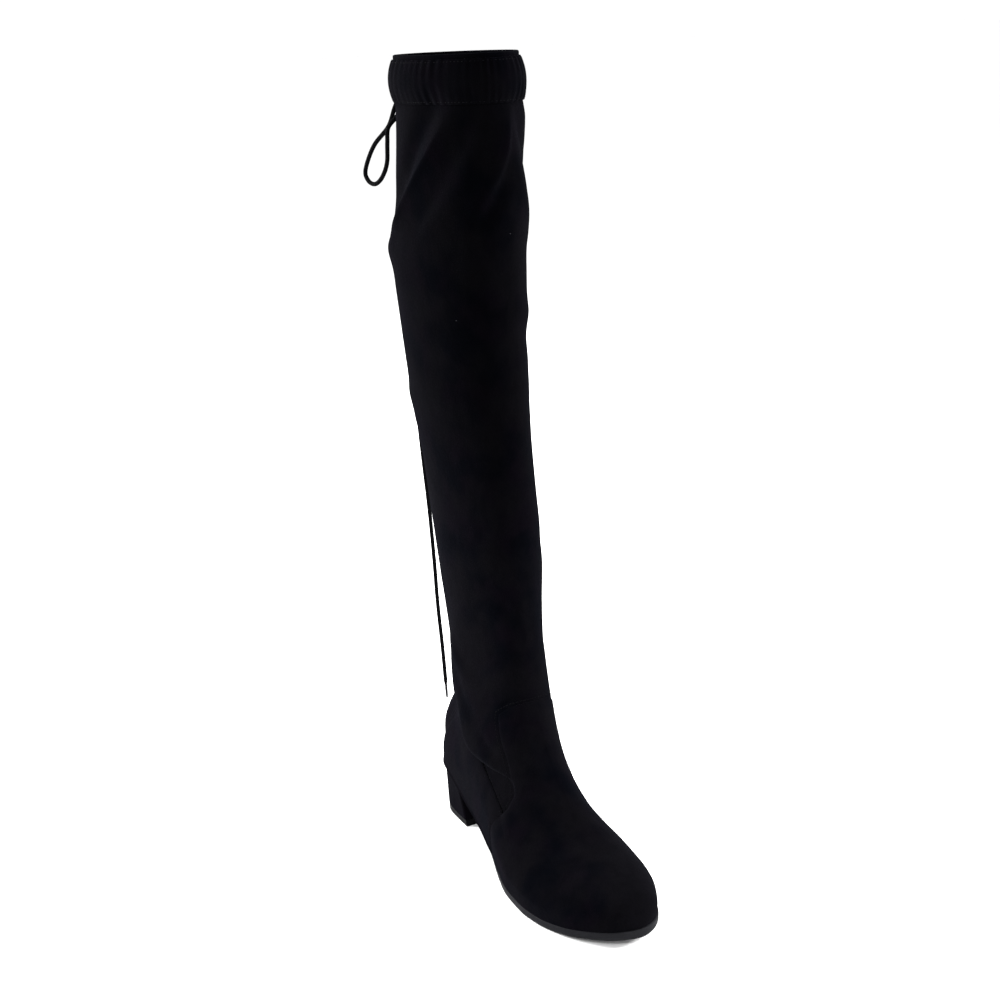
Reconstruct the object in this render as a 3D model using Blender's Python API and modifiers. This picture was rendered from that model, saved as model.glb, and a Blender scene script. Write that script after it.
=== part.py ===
"""Thigh high boot for the right foot, in black suede, with a covered block heel and a drawcord at the back.

Every piece is placed by three lengths: forward from the back of the heel, medial from the middle of
the last, and up from the floor. The toe points along -Y, the medial side is +X.
"""
import math

import bmesh
import bpy
import numpy as np
from mathutils import Vector

# Driving dimensions, in metres
SOLE_LENGTH = 0.237       # back of the heel to the tip of the toe
BALL_WIDTH = 0.080        # feather line, across the ball
SEAT_HEIGHT = 0.0365      # feather line above the floor, at the back of the heel
TOE_SPRING = 0.006        # underside of the toe tip above the floor
SOLE_EDGE = 0.0063        # thickness of the sole's edge at the forefoot
SOLE_LIP = 0.0020         # how far the sole's edge stands out from the feather line
INSTEP_HEIGHT = 0.116     # top of the vamp's tab above the floor
BOOT_HEIGHT = 0.530       # collar above the floor
SHAFT_DEPTH = 0.1205      # front to back, at the knee
SHAFT_WIDTH = 0.0766      # side to side, at the knee
UPPER_WALL = 0.0018       # suede with its lining
OVERLAY_WALL = 0.0012     # vamp and heel counter
INSOLE_WALL = 0.0020
INSOLE_INSET = 0.0026     # side of the insole in from the feather line
INSOLE_END_INSET = 0.0040 # how much further in it is at toe and heel
INSOLE_ENDS = 0.30        # where it starts and ends, as an angle round the sole's length
HEEL_DEPTH = 0.0535       # back to breast, on the floor
HEEL_SEAT_DEPTH = 0.046   # back to breast, under the seat
HEEL_WIDTH = 0.0556       # on the floor
HEEL_BACK_SLANT = 0.0035  # back of the heel on the floor, in front of the seat's back
HEEL_BREAST_SLANT = 0.30  # how far the breast runs forward for each unit down
HEEL_ROUND = 0.56         # share of the heel's depth over which its back is round
TOP_LIFT = 0.0045         # rubber piece under the heel
CASING_HEIGHT = 0.026     # hem that the drawcord runs in
CASING_DROP = 0.002       # collar's edge above the casing
CASING_MOUTH = 0.022      # open stretch of the casing at the back, where the cord comes out
COLLAR_LENGTH = 0.1685    # half the way round the collar is a little under this
CASING_SWELL = 0.0021     # how far the cord inside lifts the casing
CORD_DIAMETER = 0.0030
AGLET_DIAMETER = 0.0021
AGLET_LENGTH = 0.011
KNOT_SIZE = 0.0095
KNOT_STRETCH = (1.15, 1.0, 0.95)
GAP = 0.0003              # between neighbouring pieces

# Sections of the foot, toe to heel. Each lies in a plane across the boot, from a point on the feather
# line to a point on the ridge of the foot. Lengths forward are shares of SOLE_LENGTH, heights of
# INSTEP_HEIGHT and widths of BALL_WIDTH, the widths counted from the middle of the last.
FOOT_COLUMNS = ("seat", "feather_lateral", "feather_medial", "top", "top_height",
                "wide_lateral", "wide_medial", "middle", "side", "shoulder")
FOOT_SECTIONS = (
    (1, -0.017, 0.017, 1, 0.106, -0.017, 0.017, 0.017, 0.4, 2.1),
    (0.9916, 0.091, 0.109, 0.9905, 0.176, 0.096, 0.113, 0.019, 0.4, 2.1),
    (0.97, 0.204, 0.197, 0.966, 0.226, 0.213, 0.206, 0.021, 0.38, 2.05),
    (0.928, 0.330, 0.284, 0.92, 0.262, 0.339, 0.292, 0.023, 0.35, 1.95),
    (0.865, 0.453, 0.370, 0.857, 0.296, 0.462, 0.378, 0.027, 0.31, 1.85),
    (0.789, 0.527, 0.422, 0.783, 0.336, 0.537, 0.430, 0.032, 0.27, 1.74),
    (0.709, 0.561, 0.435, 0.713, 0.386, 0.570, 0.443, 0.032, 0.25, 1.67),
    (0.633, 0.553, 0.407, 0.654, 0.450, 0.564, 0.417, 0.029, 0.24, 1.62),
    (0.5485, 0.510, 0.357, 0.6, 0.538, 0.522, 0.369, 0.025, 0.26, 1.6),
    (0.456, 0.446, 0.332, 0.551, 0.650, 0.465, 0.349, 0.020, 0.29, 1.62),
    (0.359, 0.397, 0.328, 0.513, 0.782, 0.421, 0.349, 0.015, 0.33, 1.7),
    (0.262, 0.373, 0.336, 0.486, 0.926, 0.396, 0.359, 0.009, 0.36, 1.82),
    (0.177, 0.360, 0.353, 0.472, 1.075, 0.382, 0.367, 0.005, 0.38, 1.95),
    (0.101, 0.334, 0.334, 0.4655, 1.232, 0.376, 0.367, 0.002, 0.4, 2),
    (0.038, 0.244, 0.244, 0.462, 1.378, 0.372, 0.367, 0.000, 0.42, 2),
    (0, 0.000, 0.000, 0.4595, 1.480, 0.370, 0.365, 0.000, 0.44, 2),
)

# Sections of the shaft, heel to collar. Heights are shares of BOOT_HEIGHT, lengths forward of
# SHAFT_DEPTH and widths of SHAFT_WIDTH.
SHAFT_COLUMNS = ("back_height", "back", "front_height", "front", "half_width", "middle", "side", "shoulder")
SHAFT_SECTIONS = (
    (0.094, -0.016, 0.345, 0.899, 0.388, 0.000, 0.45, 2.0),
    (0.125, 0.009, 0.364, 0.896, 0.388, 0.000, 0.46, 2.0),
    (0.151, 0.050, 0.381, 0.894, 0.386, 0.000, 0.47, 2.0),
    (0.179, 0.110, 0.400, 0.890, 0.386, 0.000, 0.48, 2.0),
    (0.226, 0.166, 0.426, 0.882, 0.390, 0.000, 0.49, 2.0),
    (0.283, 0.129, 0.458, 0.870, 0.398, 0.000, 0.50, 2.0),
    (0.368, 0.054, 0.498, 0.853, 0.402, -0.003, 0.50, 2.0),
    (0.472, -0.021, 0.557, 0.832, 0.411, -0.008, 0.50, 2.0),
    (0.585, -0.108, 0.628, 0.822, 0.450, -0.018, 0.50, 2.0),
    (0.679, -0.149, 0.694, 0.826, 0.478, -0.026, 0.50, 2.0),
    (0.755, -0.162, 0.757, 0.838, 0.500, -0.032, 0.50, 2.0),
    (0.849, -0.120, 0.849, 0.880, 0.465, -0.012, 0.50, 2.0),
    (0.943, -0.088, 0.943, 0.880, 0.432, -0.008, 0.50, 2.0),
    (1.000, -0.080, 1.000, 0.880, 0.430, -0.008, 0.50, 2.0),
)

# Underside of the sole, heel to toe: length forward as a share of SOLE_LENGTH, height as a share of
# the seat's height over the sole, spring as a share of TOE_SPRING and edge as a share of SOLE_EDGE
UNDER_COLUMNS = ("forward", "arch", "spring", "edge")
UNDER_ROWS = (
    (0.00, 1.000, 0.0, 0.50),
    (0.07, 0.992, 0.0, 0.50),
    (0.12, 0.965, 0.0, 0.50),
    (0.165, 0.895, 0.0, 0.50),
    (0.205, 0.800, 0.0, 0.50),
    (0.265, 0.645, 0.0, 0.52),
    (0.32, 0.525, 0.0, 0.60),
    (0.42, 0.320, 0.0, 0.74),
    (0.54, 0.085, 0.0, 0.95),
    (0.59, 0.015, 0.0, 1.00),
    (0.64, 0.000, 0.0, 1.00),
    (0.77, 0.000, 0.0, 1.00),
    (0.88, 0.000, 0.36, 1.00),
    (1.00, 0.000, 1.0, 1.00),
)

# Soft folds in the shaft: where the fold is (side -1 lateral to 1 medial, 0 all round), its place
# forward and up, its reach forward and up, and how far it stands out
FOLD_COLUMNS = ("side", "forward", "height", "reach_forward", "reach_up", "swell")
FOLD_ROWS = (
    (-1, -0.06, 0.772, 0.34, 0.030, 0.050),
    (-1, -0.04, 0.590, 0.30, 0.022, 0.022),
    (1, 0.75, 0.700, 0.30, 0.026, 0.020),
    (0, 0.86, 0.610, 0.22, 0.020, 0.012),
)

# Slouch over the heel counter on the lateral side: the fold's edge as forward and height shares
# of SOLE_LENGTH and INSTEP_HEIGHT
SLOUCH_EDGE = ((0.165, 0.860), (0.214, 0.845), (0.260, 0.760), (0.285, 0.670), (0.315, 0.618),
               (0.360, 0.600), (0.460, 0.583), (0.500, 0.560), (0.535, 0.490))
SLOUCH_SWELL = 0.0045     # how far the fold stands out
SLOUCH_RISE = 0.026       # how far above its edge the fold fades
SLOUCH_TUCK = 0.007       # how far below its edge the fold fades

# Hollow behind the ankle, on both sides of the heel cord: its place forward and up, its reach
# forward and up as shares of the same, and how deep it is
ANKLE_PLACE = (0.24, 0.184)
ANKLE_REACH = (0.26, 0.060)
ANKLE_HOLLOW = 0.0105

# Seams, seen from the side, as forward shares of SOLE_LENGTH and height shares of INSTEP_HEIGHT
VAMP_LATERAL = ((0.474, -0.20), (0.474, 0.12), (0.487, 0.29), (0.505, 0.36), (0.522, 0.402),
                (0.537, 0.44), (0.536, 0.49), (0.531, 0.54), (0.516, 0.60), (0.492, 0.68),
                (0.455, 0.741), (0.433, 0.80), (0.421, 0.88), (0.419, 0.928))
VAMP_MEDIAL = ((0.470, -0.20), (0.470, 0.12), (0.480, 0.24), (0.490, 0.32), (0.500, 0.38),
               (0.507, 0.43), (0.509, 0.47), (0.504, 0.53), (0.492, 0.59), (0.467, 0.687),
               (0.445, 0.759), (0.434, 0.81), (0.430, 0.87), (0.430, 0.93))
TAB_TOP = ((0.450, 0.974), (0.466, 0.992), (0.480, 1.004), (0.640, 1.060))
COUNTER_LATERAL = ((-0.15, 0.850), (0.10, 0.835), (0.19, 0.795), (0.250, 0.700), (0.290, 0.610),
                   (0.385, 0.590), (0.413, 0.540), (0.471, 0.458), (0.520, 0.396), (0.505, 0.36),
                   (0.487, 0.29), (0.474, 0.12), (0.474, -0.20), (-0.15, -0.20))
COUNTER_MEDIAL = ((-0.15, 0.850), (0.10, 0.835), (0.19, 0.790), (0.260, 0.710), (0.320, 0.640),
                  (0.385, 0.560), (0.413, 0.520), (0.462, 0.440), (0.500, 0.380), (0.490, 0.32),
                  (0.480, 0.24), (0.470, 0.12), (0.470, -0.20), (-0.15, -0.20))
SEAM_GAP = 0.0006         # between the edges of vamp and counter
EDGE_TURN = 0.005         # how far round from the feather line the overlays start, as a share

# Rings of the upper's grid: foot rings are evenly spaced round the sole, shaft rings stand at these
# shares of the way from the seat to the collar
FOOT_RINGS = 22
SHAFT_STEPS = (0.018, 0.038, 0.058, 0.078, 0.100, 0.122, 0.146, 0.172, 0.200, 0.235, 0.275, 0.320,
               0.370, 0.425, 0.480, 0.535, 0.590, 0.640, 0.690, 0.740, 0.790, 0.840, 0.890)
AROUND = 28               # columns of the grid, lateral feather line over the top to the medial one

# Drawcord routes, in metres: medial, forward, up
KNOT_PLACE = (-0.0020, -0.0178, 0.5100)
LOOP_LATERAL = ((-0.0078, -0.0196, 0.5074), (-0.0140, -0.0181, 0.4972), (-0.0180, -0.0216, 0.4851),
                (-0.0250, -0.0320, 0.4727), (-0.0290, -0.0397, 0.4571), (-0.0290, -0.0364, 0.4501),
                (-0.0270, -0.0298, 0.4480), (-0.0240, -0.0244, 0.4523), (-0.0220, -0.0188, 0.4620),
                (-0.0215, -0.0170, 0.4750), (-0.0203, -0.0164, 0.4849), (-0.0140, -0.0150, 0.4920),
                (-0.0082, -0.0185, 0.5000), (-0.0052, -0.0216, 0.5056))
LOOP_MEDIAL = ((0.0040, -0.0195, 0.5074), (0.0110, -0.0205, 0.4990), (0.0165, -0.0240, 0.4880),
               (0.0215, -0.0300, 0.4760), (0.0235, -0.0340, 0.4640), (0.0205, -0.0340, 0.4570),
               (0.0155, -0.0310, 0.4590), (0.0115, -0.0275, 0.4700), (0.0090, -0.0262, 0.4820),
               (0.0065, -0.0255, 0.4940), (0.0028, -0.0219, 0.5054))
END_LATERAL = ((-0.0030, -0.0188, 0.5049), (-0.0056, -0.0232, 0.4850), (-0.0100, -0.0255, 0.4500),
               (-0.0115, -0.0268, 0.4050), (-0.0108, -0.0268, 0.3500), (-0.0092, -0.0265, 0.3000),
               (-0.0072, -0.0262, 0.2530), (-0.0052, -0.0260, 0.2150), (-0.0040, -0.0260, 0.1750),
               (-0.0035, -0.0260, 0.1400), (-0.0020, -0.0260, 0.1050), (-0.0012, -0.0260, 0.0740))
END_MEDIAL = ((0.0007, -0.0187, 0.5050), (0.0024, -0.0235, 0.4850), (0.0048, -0.0252, 0.4500),
              (0.0062, -0.0266, 0.4050), (0.0066, -0.0266, 0.3500), (0.0064, -0.0264, 0.3000),
              (0.0062, -0.0262, 0.2450))
FEED_END_RISE = 0.0008    # where the feeding cords meet the knot, above its middle

COLLECTION = "thigh_high_boot"
SUEDE = (0.0060, 0.0055, 0.0065)
SUEDE_LINING = (0.020, 0.018, 0.018)
RUBBER = (0.018, 0.018, 0.019)
CORD = (0.0070, 0.0065, 0.0070)
METAL = (0.060, 0.060, 0.065)


# Smooth curves through the tables

def slopes(places, values):
    """Slopes of a smooth curve through the points that never runs past one of them."""
    step = np.diff(places)
    rise = np.diff(values) / step
    result = np.zeros(len(places))
    result[0] = rise[0]
    result[-1] = rise[-1]
    for i in range(1, len(places) - 1):
        if rise[i - 1] * rise[i] > 0:
            before = 2 * step[i] + step[i - 1]
            after = step[i] + 2 * step[i - 1]
            result[i] = (before + after) / (before / rise[i - 1] + after / rise[i])
    return result


def smooth(places, values, place):
    """Value at a place, on the smooth curve through the table's points."""
    tangents = slopes(places, values)
    place = min(max(place, places[0]), places[-1])
    i = min(int(np.searchsorted(places, place, side="right")) - 1, len(places) - 2)
    step = places[i + 1] - places[i]
    u = (place - places[i]) / step
    rise = values[i + 1] - values[i]
    start = tangents[i] * step
    end = tangents[i + 1] * step
    return float(values[i] + u * (start + u * (3 * rise - 2 * start - end + u * (start + end - 2 * rise))))


def under(forward, column):
    """A column of the sole's table at a length forward of the heel, as a share."""
    columns = np.array(UNDER_ROWS).T
    return smooth(columns[0], columns[UNDER_COLUMNS.index(column)], forward / SOLE_LENGTH)


def under_height(forward):
    """Height of the sole's underside."""
    rise = SEAT_HEIGHT - SOLE_EDGE * under(0.0, "edge")
    return rise * under(forward, "arch") + TOE_SPRING * under(forward, "spring")


def feather_height(forward):
    """Height of the feather line, where the upper meets the sole."""
    return under_height(forward) + SOLE_EDGE * under(forward, "edge")


# The upper's own function

def station(share):
    """Place of a foot section on the way from the toe (0) round the sole's curve to the heel (1)."""
    return 1 - math.acos(1 - 2 * share) / math.pi


def section_rows():
    """All sections as rows of real lengths, keyed 0 at the toe, 1 at the heel and 2 at the collar."""
    rows = []
    for values in FOOT_SECTIONS:
        row = dict(zip(FOOT_COLUMNS, values))
        seat = row["seat"] * SOLE_LENGTH
        rows.append((station(row["seat"]), seat, feather_height(seat), row["top"] * SOLE_LENGTH,
                     row["top_height"] * INSTEP_HEIGHT, row["wide_lateral"] * BALL_WIDTH,
                     row["wide_medial"] * BALL_WIDTH, row["feather_lateral"] * BALL_WIDTH,
                     row["feather_medial"] * BALL_WIDTH, row["middle"] * BALL_WIDTH,
                     row["side"], row["shoulder"]))
    for values in SHAFT_SECTIONS:
        row = dict(zip(SHAFT_COLUMNS, values))
        height = row["back_height"] * BOOT_HEIGHT
        half = row["half_width"] * SHAFT_WIDTH
        middle = row["middle"] * SHAFT_WIDTH
        rows.append((1 + (height - SEAT_HEIGHT) / (BOOT_HEIGHT - SEAT_HEIGHT), row["back"] * SHAFT_DEPTH,
                     height, row["front"] * SHAFT_DEPTH, row["front_height"] * BOOT_HEIGHT,
                     half - middle, half + middle, 0.0, 0.0, middle, row["side"], row["shoulder"]))
    return np.array(rows).T


SECTIONS = section_rows()


def section(key):
    """The section at a key: its two ends and widths, read from the smooth curves."""
    values = [smooth(SECTIONS[0], column, key) for column in SECTIONS[1:]]
    back, back_height = values[0], values[1]
    if key < 1:
        back = SOLE_LENGTH * (1 - math.cos((1 - key) * math.pi)) / 2
        back_height = feather_height(back)
    return [back, back_height] + values[2:]


def side_profile(turn, feather, wide, side, shoulder):
    """Half a section: distance from the middle and share of the height at a turn of 0 to 1."""
    lower = 0.42
    if turn < lower:
        angle = turn / lower * math.pi / 2
        open_share = min(max(feather / wide, 0.0), 1.0) if wide > 0 else 1.0
        lift = 1 - 0.5 * open_share * open_share
        return feather + (wide - feather) * math.sin(angle), side * (1 - math.cos(angle)) ** lift
    angle = (turn - lower) / (1 - lower) * math.pi / 2
    return (wide * max(math.cos(angle), 0.0) ** (2 / shoulder),
            side + (1 - side) * math.sin(angle) ** (2 / shoulder))


def plain_point(key, around):
    """The last's surface before any fold, as medial, forward and up. Around runs 0 to 1."""
    (back, back_height, top, top_height, wide_lateral, wide_medial,
     feather_lateral, feather_medial, middle, side, shoulder) = section(key)
    turn = 1 - abs(2 * around - 1)
    if around < 0.5:
        reach, share = side_profile(turn, feather_lateral + middle, wide_lateral + middle, side, shoulder)
        medial = middle - reach
    else:
        reach, share = side_profile(turn, feather_medial - middle, wide_medial - middle, side, shoulder)
        medial = middle + reach
    return np.array((medial, back + (top - back) * share, back_height + (top_height - back_height) * share))


def normal(key, around):
    """Direction straight out of the last's surface."""
    if key < 0.004:
        return np.array((0.0, 1.0, 0.0))
    step = 0.004
    low = max(key - step, 0.0)
    high = min(key + step, 2.0)
    left = max(around - step, 0.0)
    right = min(around + step, 1.0)
    along = plain_point(high, around) - plain_point(low, around)
    across = plain_point(key, right) - plain_point(key, left)
    out = np.cross(along, across)
    return out / max(np.linalg.norm(out), 1e-12)


def fade(distance):
    """A soft hill: 1 in the middle and near 0 from a distance of 1."""
    return math.exp(-2.5 * distance * distance)


def fold_swell(point):
    """How far the shaft's soft folds stand out at a point."""
    total = 0.0
    for values in FOLD_ROWS:
        row = dict(zip(FOLD_COLUMNS, values))
        forward = (point[1] - row["forward"] * SHAFT_DEPTH) / (row["reach_forward"] * SHAFT_DEPTH)
        up = (point[2] - row["height"] * BOOT_HEIGHT) / (row["reach_up"] * BOOT_HEIGHT)
        share = 1.0
        if row["side"]:
            share = 1 / (1 + math.exp(-row["side"] * point[0] / (0.12 * SHAFT_WIDTH)))
        total += row["swell"] * SHAFT_WIDTH * share * fade(math.hypot(forward, up))
    return total


def ankle_swell(point):
    """How far the hollow behind the ankle draws the sides in, as a negative length."""
    forward = (point[1] / SHAFT_DEPTH - ANKLE_PLACE[0]) / ANKLE_REACH[0]
    up = (point[2] / BOOT_HEIGHT - ANKLE_PLACE[1]) / ANKLE_REACH[1]
    beside = min(abs(point[0]) / (0.25 * SHAFT_WIDTH), 1.0)
    return -ANKLE_HOLLOW * beside * fade(math.hypot(forward, up) * 0.8)


def slouch_swell(point):
    """How far the slouched fold stands out over the heel counter, on the lateral side."""
    edge = np.array(SLOUCH_EDGE)
    forward = point[1] / SOLE_LENGTH
    height = point[2] - INSTEP_HEIGHT * float(np.interp(forward, edge[:, 0], edge[:, 1]))
    reach = SLOUCH_RISE if height > 0 else SLOUCH_TUCK
    ends = fade(max(edge[0, 0] - forward, forward - edge[-1, 0], 0.0) / 0.09)
    lateral = min(max(-point[0] / (0.10 * BALL_WIDTH), 0.0), 1.0)
    return SLOUCH_SWELL * ends * lateral * fade(height / reach)


def surface_point(key, around, lift=0.0):
    """A point of the upper's outer face with its folds, or of a form that lies further out."""
    point = plain_point(key, around)
    swell = fold_swell(point) + ankle_swell(point) + slouch_swell(point)
    if key < 1:
        rise = min(around, 1 - around) * 2
        swell *= min(rise / 0.2, 1.0)
    return point + normal(key, around) * (swell + lift)


def grid_keys():
    """Keys of the upper's rings, toe to collar."""
    keys = [i / FOOT_RINGS for i in range(FOOT_RINGS + 1)]
    keys += [1 + step for step in SHAFT_STEPS]
    span = BOOT_HEIGHT - SEAT_HEIGHT
    top = 2 - CASING_DROP / span
    bottom = top - CASING_HEIGHT / span
    return keys + [bottom, (bottom + top) / 2, top, 2.0]


# Helpers that make objects

def world(medial, forward, up):
    """A place in Blender's axes: the toe points along -Y."""
    return Vector((medial, -forward, up))


def material(name, colour, roughness, metallic=0.0):
    result = bpy.data.materials.new(name)
    result.use_nodes = True
    shader = result.node_tree.nodes["Principled BSDF"]
    shader.inputs["Base Color"].default_value = (*colour, 1.0)
    shader.inputs["Roughness"].default_value = roughness
    shader.inputs["Metallic"].default_value = metallic
    result.diffuse_color = (*colour, 1.0)
    return result


def link(obj, look=None):
    """Puts an object under the boot's root, with its own material."""
    bpy.data.collections[COLLECTION].objects.link(obj)
    obj.parent = bpy.data.objects["boot_root"]
    if look:
        obj.data.materials.append(look)
    return obj


def mesh_object(name, bm, look, sharp=50):
    """Turns a bmesh into a smooth shaded object."""
    bmesh.ops.remove_doubles(bm, verts=bm.verts, dist=0.00001)
    bmesh.ops.recalc_face_normals(bm, faces=bm.faces)
    mesh = bpy.data.meshes.new(name)
    bm.to_mesh(mesh)
    bm.free()
    mesh.shade_smooth()
    mesh.set_sharp_from_angle(angle=math.radians(sharp))
    return link(bpy.data.objects.new(name, mesh), look)


def grid_bmesh(rows):
    """Joins rows of points of one length with triangles, cut the same way in every form."""
    bm = bmesh.new()
    verts = [[bm.verts.new(world(*point)) for point in row] for row in rows]
    for upper, lower in zip(verts, verts[1:]):
        for i in range(len(upper) - 1):
            bm.faces.new((upper[i], upper[i + 1], lower[i + 1]))
            bm.faces.new((upper[i], lower[i + 1], lower[i]))
    return bm


def loft(name, loops, look, sharp=50):
    """A closed solid through closed loops of points, with its ends capped."""
    bm = bmesh.new()
    verts = [[bm.verts.new(world(*point)) for point in loop] for loop in loops]
    for first, second in zip(verts, verts[1:]):
        for i in range(len(first)):
            j = (i + 1) % len(first)
            bm.faces.new((first[i], first[j], second[j], second[i]))
    bm.faces.new(verts[0])
    bm.faces.new(verts[-1])
    return mesh_object(name, bm, look, sharp)


def solidify(obj, thickness, offset):
    modifier = obj.modifiers.new("wall", "SOLIDIFY")
    modifier.thickness = thickness
    modifier.offset = offset
    return modifier


# Sole, heel and insole

def outline(forward, margin):
    """Lateral and medial edge of the feather line at a length forward, moved out by a margin."""
    key = station(forward / SOLE_LENGTH)
    values = section(key)
    middle = values[8]
    lateral = values[6] + middle
    medial = values[7] - middle
    slope = min(1.0, math.sqrt(max(lateral + medial, 0.0) / (0.25 * BALL_WIDTH)))
    return middle - lateral - margin * slope, middle + medial + margin * slope


def sole_station(forward, tip, slant):
    """One cross section of the outsole: a flat top, sides rounded under, and leaning back by a slant."""
    left, right = outline(forward, SOLE_LIP)
    top = feather_height(forward) - GAP
    low = under_height(forward)
    edge = top - low
    inset = min(0.30 * edge, 0.45 * (right - left))
    corners = ((left, top), (right, top), (right, low + 0.45 * edge), (right - 0.3 * inset, low + 0.16 * edge),
               (right - inset, low), (left + inset, low), (left + 0.3 * inset, low + 0.16 * edge),
               (left, low + 0.45 * edge))
    return [(medial, forward + SOLE_LIP * tip + slant * (top - up), up) for medial, up in corners]


def build_outsole(look):
    """Rubber outsole from the heel's breast to the toe."""
    start = math.acos(1 - 2 * (HEEL_SEAT_DEPTH + 2 * GAP) / SOLE_LENGTH)
    count = 26
    loops = []
    for i in range(count + 1):
        angle = start + (math.pi - 0.05 - start) * i / count
        forward = SOLE_LENGTH * (1 - math.cos(angle)) / 2
        tip = max(0.0, (forward / SOLE_LENGTH - 0.8) / 0.2) ** 2
        loops.append(sole_station(forward, tip, 0.0 if i else HEEL_BREAST_SLANT))
    return loft("outsole", loops, look)


def heel_half_width(share):
    """Half the heel's width on the floor, at a share of its depth from the back."""
    short = 1 - min(share / HEEL_ROUND, 1.0)
    return HEEL_WIDTH / 2 * math.sqrt(1 - short * short)


def heel_level(share, blend):
    """Forward and half widths of the heel at a share of its depth; blend runs floor 0 to seat 1."""
    back = HEEL_BACK_SLANT * (1 - blend)
    depth = HEEL_DEPTH + (HEEL_SEAT_DEPTH - HEEL_DEPTH) * blend
    forward = back + (depth - back) * share
    left, right = outline(max(HEEL_SEAT_DEPTH * share, 0.0), SOLE_LIP * 0.25)
    half = heel_half_width(share)
    return forward, left * blend - half * (1 - blend), right * blend + half * (1 - blend)


def heel_shares():
    """Stations along the heel, close together where its back is round."""
    count = 12
    return [(1 - math.cos(i / count * math.pi / 2)) for i in range(count + 1)]


def build_heel_block(look):
    """Covered block heel: its top follows the seat, its breast is straight."""
    base = TOP_LIFT + GAP
    loops = []
    for share in heel_shares():
        forward, left, right = heel_level(share, 1.0)
        top = feather_height(forward) - 1.5 * GAP
        middle_forward, middle_left, middle_right = heel_level(share, 0.45)
        low_forward, low_left, low_right = heel_level(share, base / SEAT_HEIGHT)
        middle = base + (top - base) * 0.42
        loops.append(((left, forward, top), (right, forward, top), (middle_right, middle_forward, middle),
                      (low_right, low_forward, base), (low_left, low_forward, base),
                      (middle_left, middle_forward, middle)))
    return loft("heel_block", loops, look, 40)


def build_top_lift(look):
    """Rubber top lift under the heel, flat on the floor."""
    loops = []
    for share in heel_shares():
        high_forward, high_left, high_right = heel_level(share, TOP_LIFT / SEAT_HEIGHT)
        forward, left, right = heel_level(share, 0.0)
        loops.append(((high_left, high_forward, TOP_LIFT), (high_right, high_forward, TOP_LIFT),
                      (right, forward, 0.0), (left, forward, 0.0)))
    return loft("heel_top_lift", loops, look, 40)


def build_insole(look):
    """Insole inside the upper, on the seat and the outsole."""
    count = 28
    loops = []
    for i in range(count + 1):
        angle = INSOLE_ENDS + (math.pi - 2 * INSOLE_ENDS) * i / count
        forward = SOLE_LENGTH * (1 - math.cos(angle)) / 2
        inset = INSOLE_INSET + INSOLE_END_INSET * math.cos(angle) ** 4
        left, right = outline(forward, 0.0)
        low = feather_height(forward) + GAP
        high = low + INSOLE_WALL
        loops.append(((left + inset, forward, low), (right - inset, forward, low),
                      (right - inset - GAP, forward, high), (left + inset + GAP, forward, high)))
    return loft("insole", loops, look)


# Upper and overlays

def build_upper(look):
    """The whole upper, foot and shaft, open at the collar and underneath."""
    rows = [[surface_point(key, i / AROUND) for i in range(AROUND + 1)] for key in grid_keys()]
    obj = mesh_object("upper", grid_bmesh(rows), look)
    solidify(obj, UPPER_WALL, -1.0)
    return obj


def skin(name, low_key, high_key):
    """A closed form that lies a gap outside the upper, between two rings of its grid."""
    keys = [key for key in grid_keys() if low_key <= key <= high_key]
    rows = []
    for key in keys:
        edge = EDGE_TURN if key < 1 else 0.0
        turns = [edge] + [i / AROUND for i in range(1, AROUND)] + [1 - edge]
        rows.append([surface_point(key, turn, GAP) for turn in turns])
    obj = mesh_object(name, grid_bmesh(rows), None)
    solidify(obj, OVERLAY_WALL, 1.0)
    return obj


def side_cutter(name, lateral, medial):
    """A closed form through a lateral and a medial outline of one length, used to cut an overlay."""
    reach = BALL_WIDTH
    near_middle = 0.04 * BALL_WIDTH
    loops = []
    for place, shares in ((-reach, lateral), (-near_middle, lateral), (near_middle, medial), (reach, medial)):
        loops.append([(place, f * SOLE_LENGTH, z * INSTEP_HEIGHT) for f, z in shares])
    obj = loft(name, loops, None)
    bpy.data.collections[COLLECTION].objects.unlink(obj)
    bpy.data.collections["cutters"].objects.link(obj)
    obj.hide_render = True
    obj.display_type = "WIRE"
    return obj


def cut_from(form, cutter, look):
    """Keeps the part of a form that lies in the cutter, as a plain mesh."""
    modifier = form.modifiers.new("cut", "BOOLEAN")
    modifier.operation = "INTERSECT"
    modifier.solver = "EXACT"
    modifier.object = cutter
    bpy.context.view_layer.update()
    evaluated = form.evaluated_get(bpy.context.evaluated_depsgraph_get())
    mesh = bpy.data.meshes.new_from_object(evaluated)
    name = form.name
    bpy.data.objects.remove(form)
    bm = bmesh.new()
    bm.from_mesh(mesh)
    bmesh.ops.triangulate(bm, faces=[face for face in bm.faces if len(face.verts) > 4])
    bpy.data.meshes.remove(mesh)
    obj = mesh_object(name, bm, look)
    return obj


def build_vamp(look):
    """Vamp over toe and instep, with a tab that runs up the front of the ankle."""
    ahead = ((1.20, 1.04), (1.20, -0.20))
    lateral = VAMP_LATERAL + TAB_TOP + ahead
    medial = VAMP_MEDIAL + TAB_TOP + ahead
    return cut_from(skin("vamp", 0.0, 1.02), side_cutter("vamp_cutter", lateral, medial), look)


def build_counter(look):
    """Heel counter: a stiff panel round the heel that reaches the vamp on both sides."""
    gap = SEAM_GAP / SOLE_LENGTH
    lateral = tuple((f - gap, z) for f, z in COUNTER_LATERAL)
    medial = tuple((f - gap, z) for f, z in COUNTER_MEDIAL)
    return cut_from(skin("heel_counter", 0.3, 1.3), side_cutter("counter_cutter", lateral, medial), look)


def mouth_turn():
    """How far round from the back the casing starts, as a share of the collar."""
    return 0.5 * CASING_MOUTH / (COLLAR_LENGTH)


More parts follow.
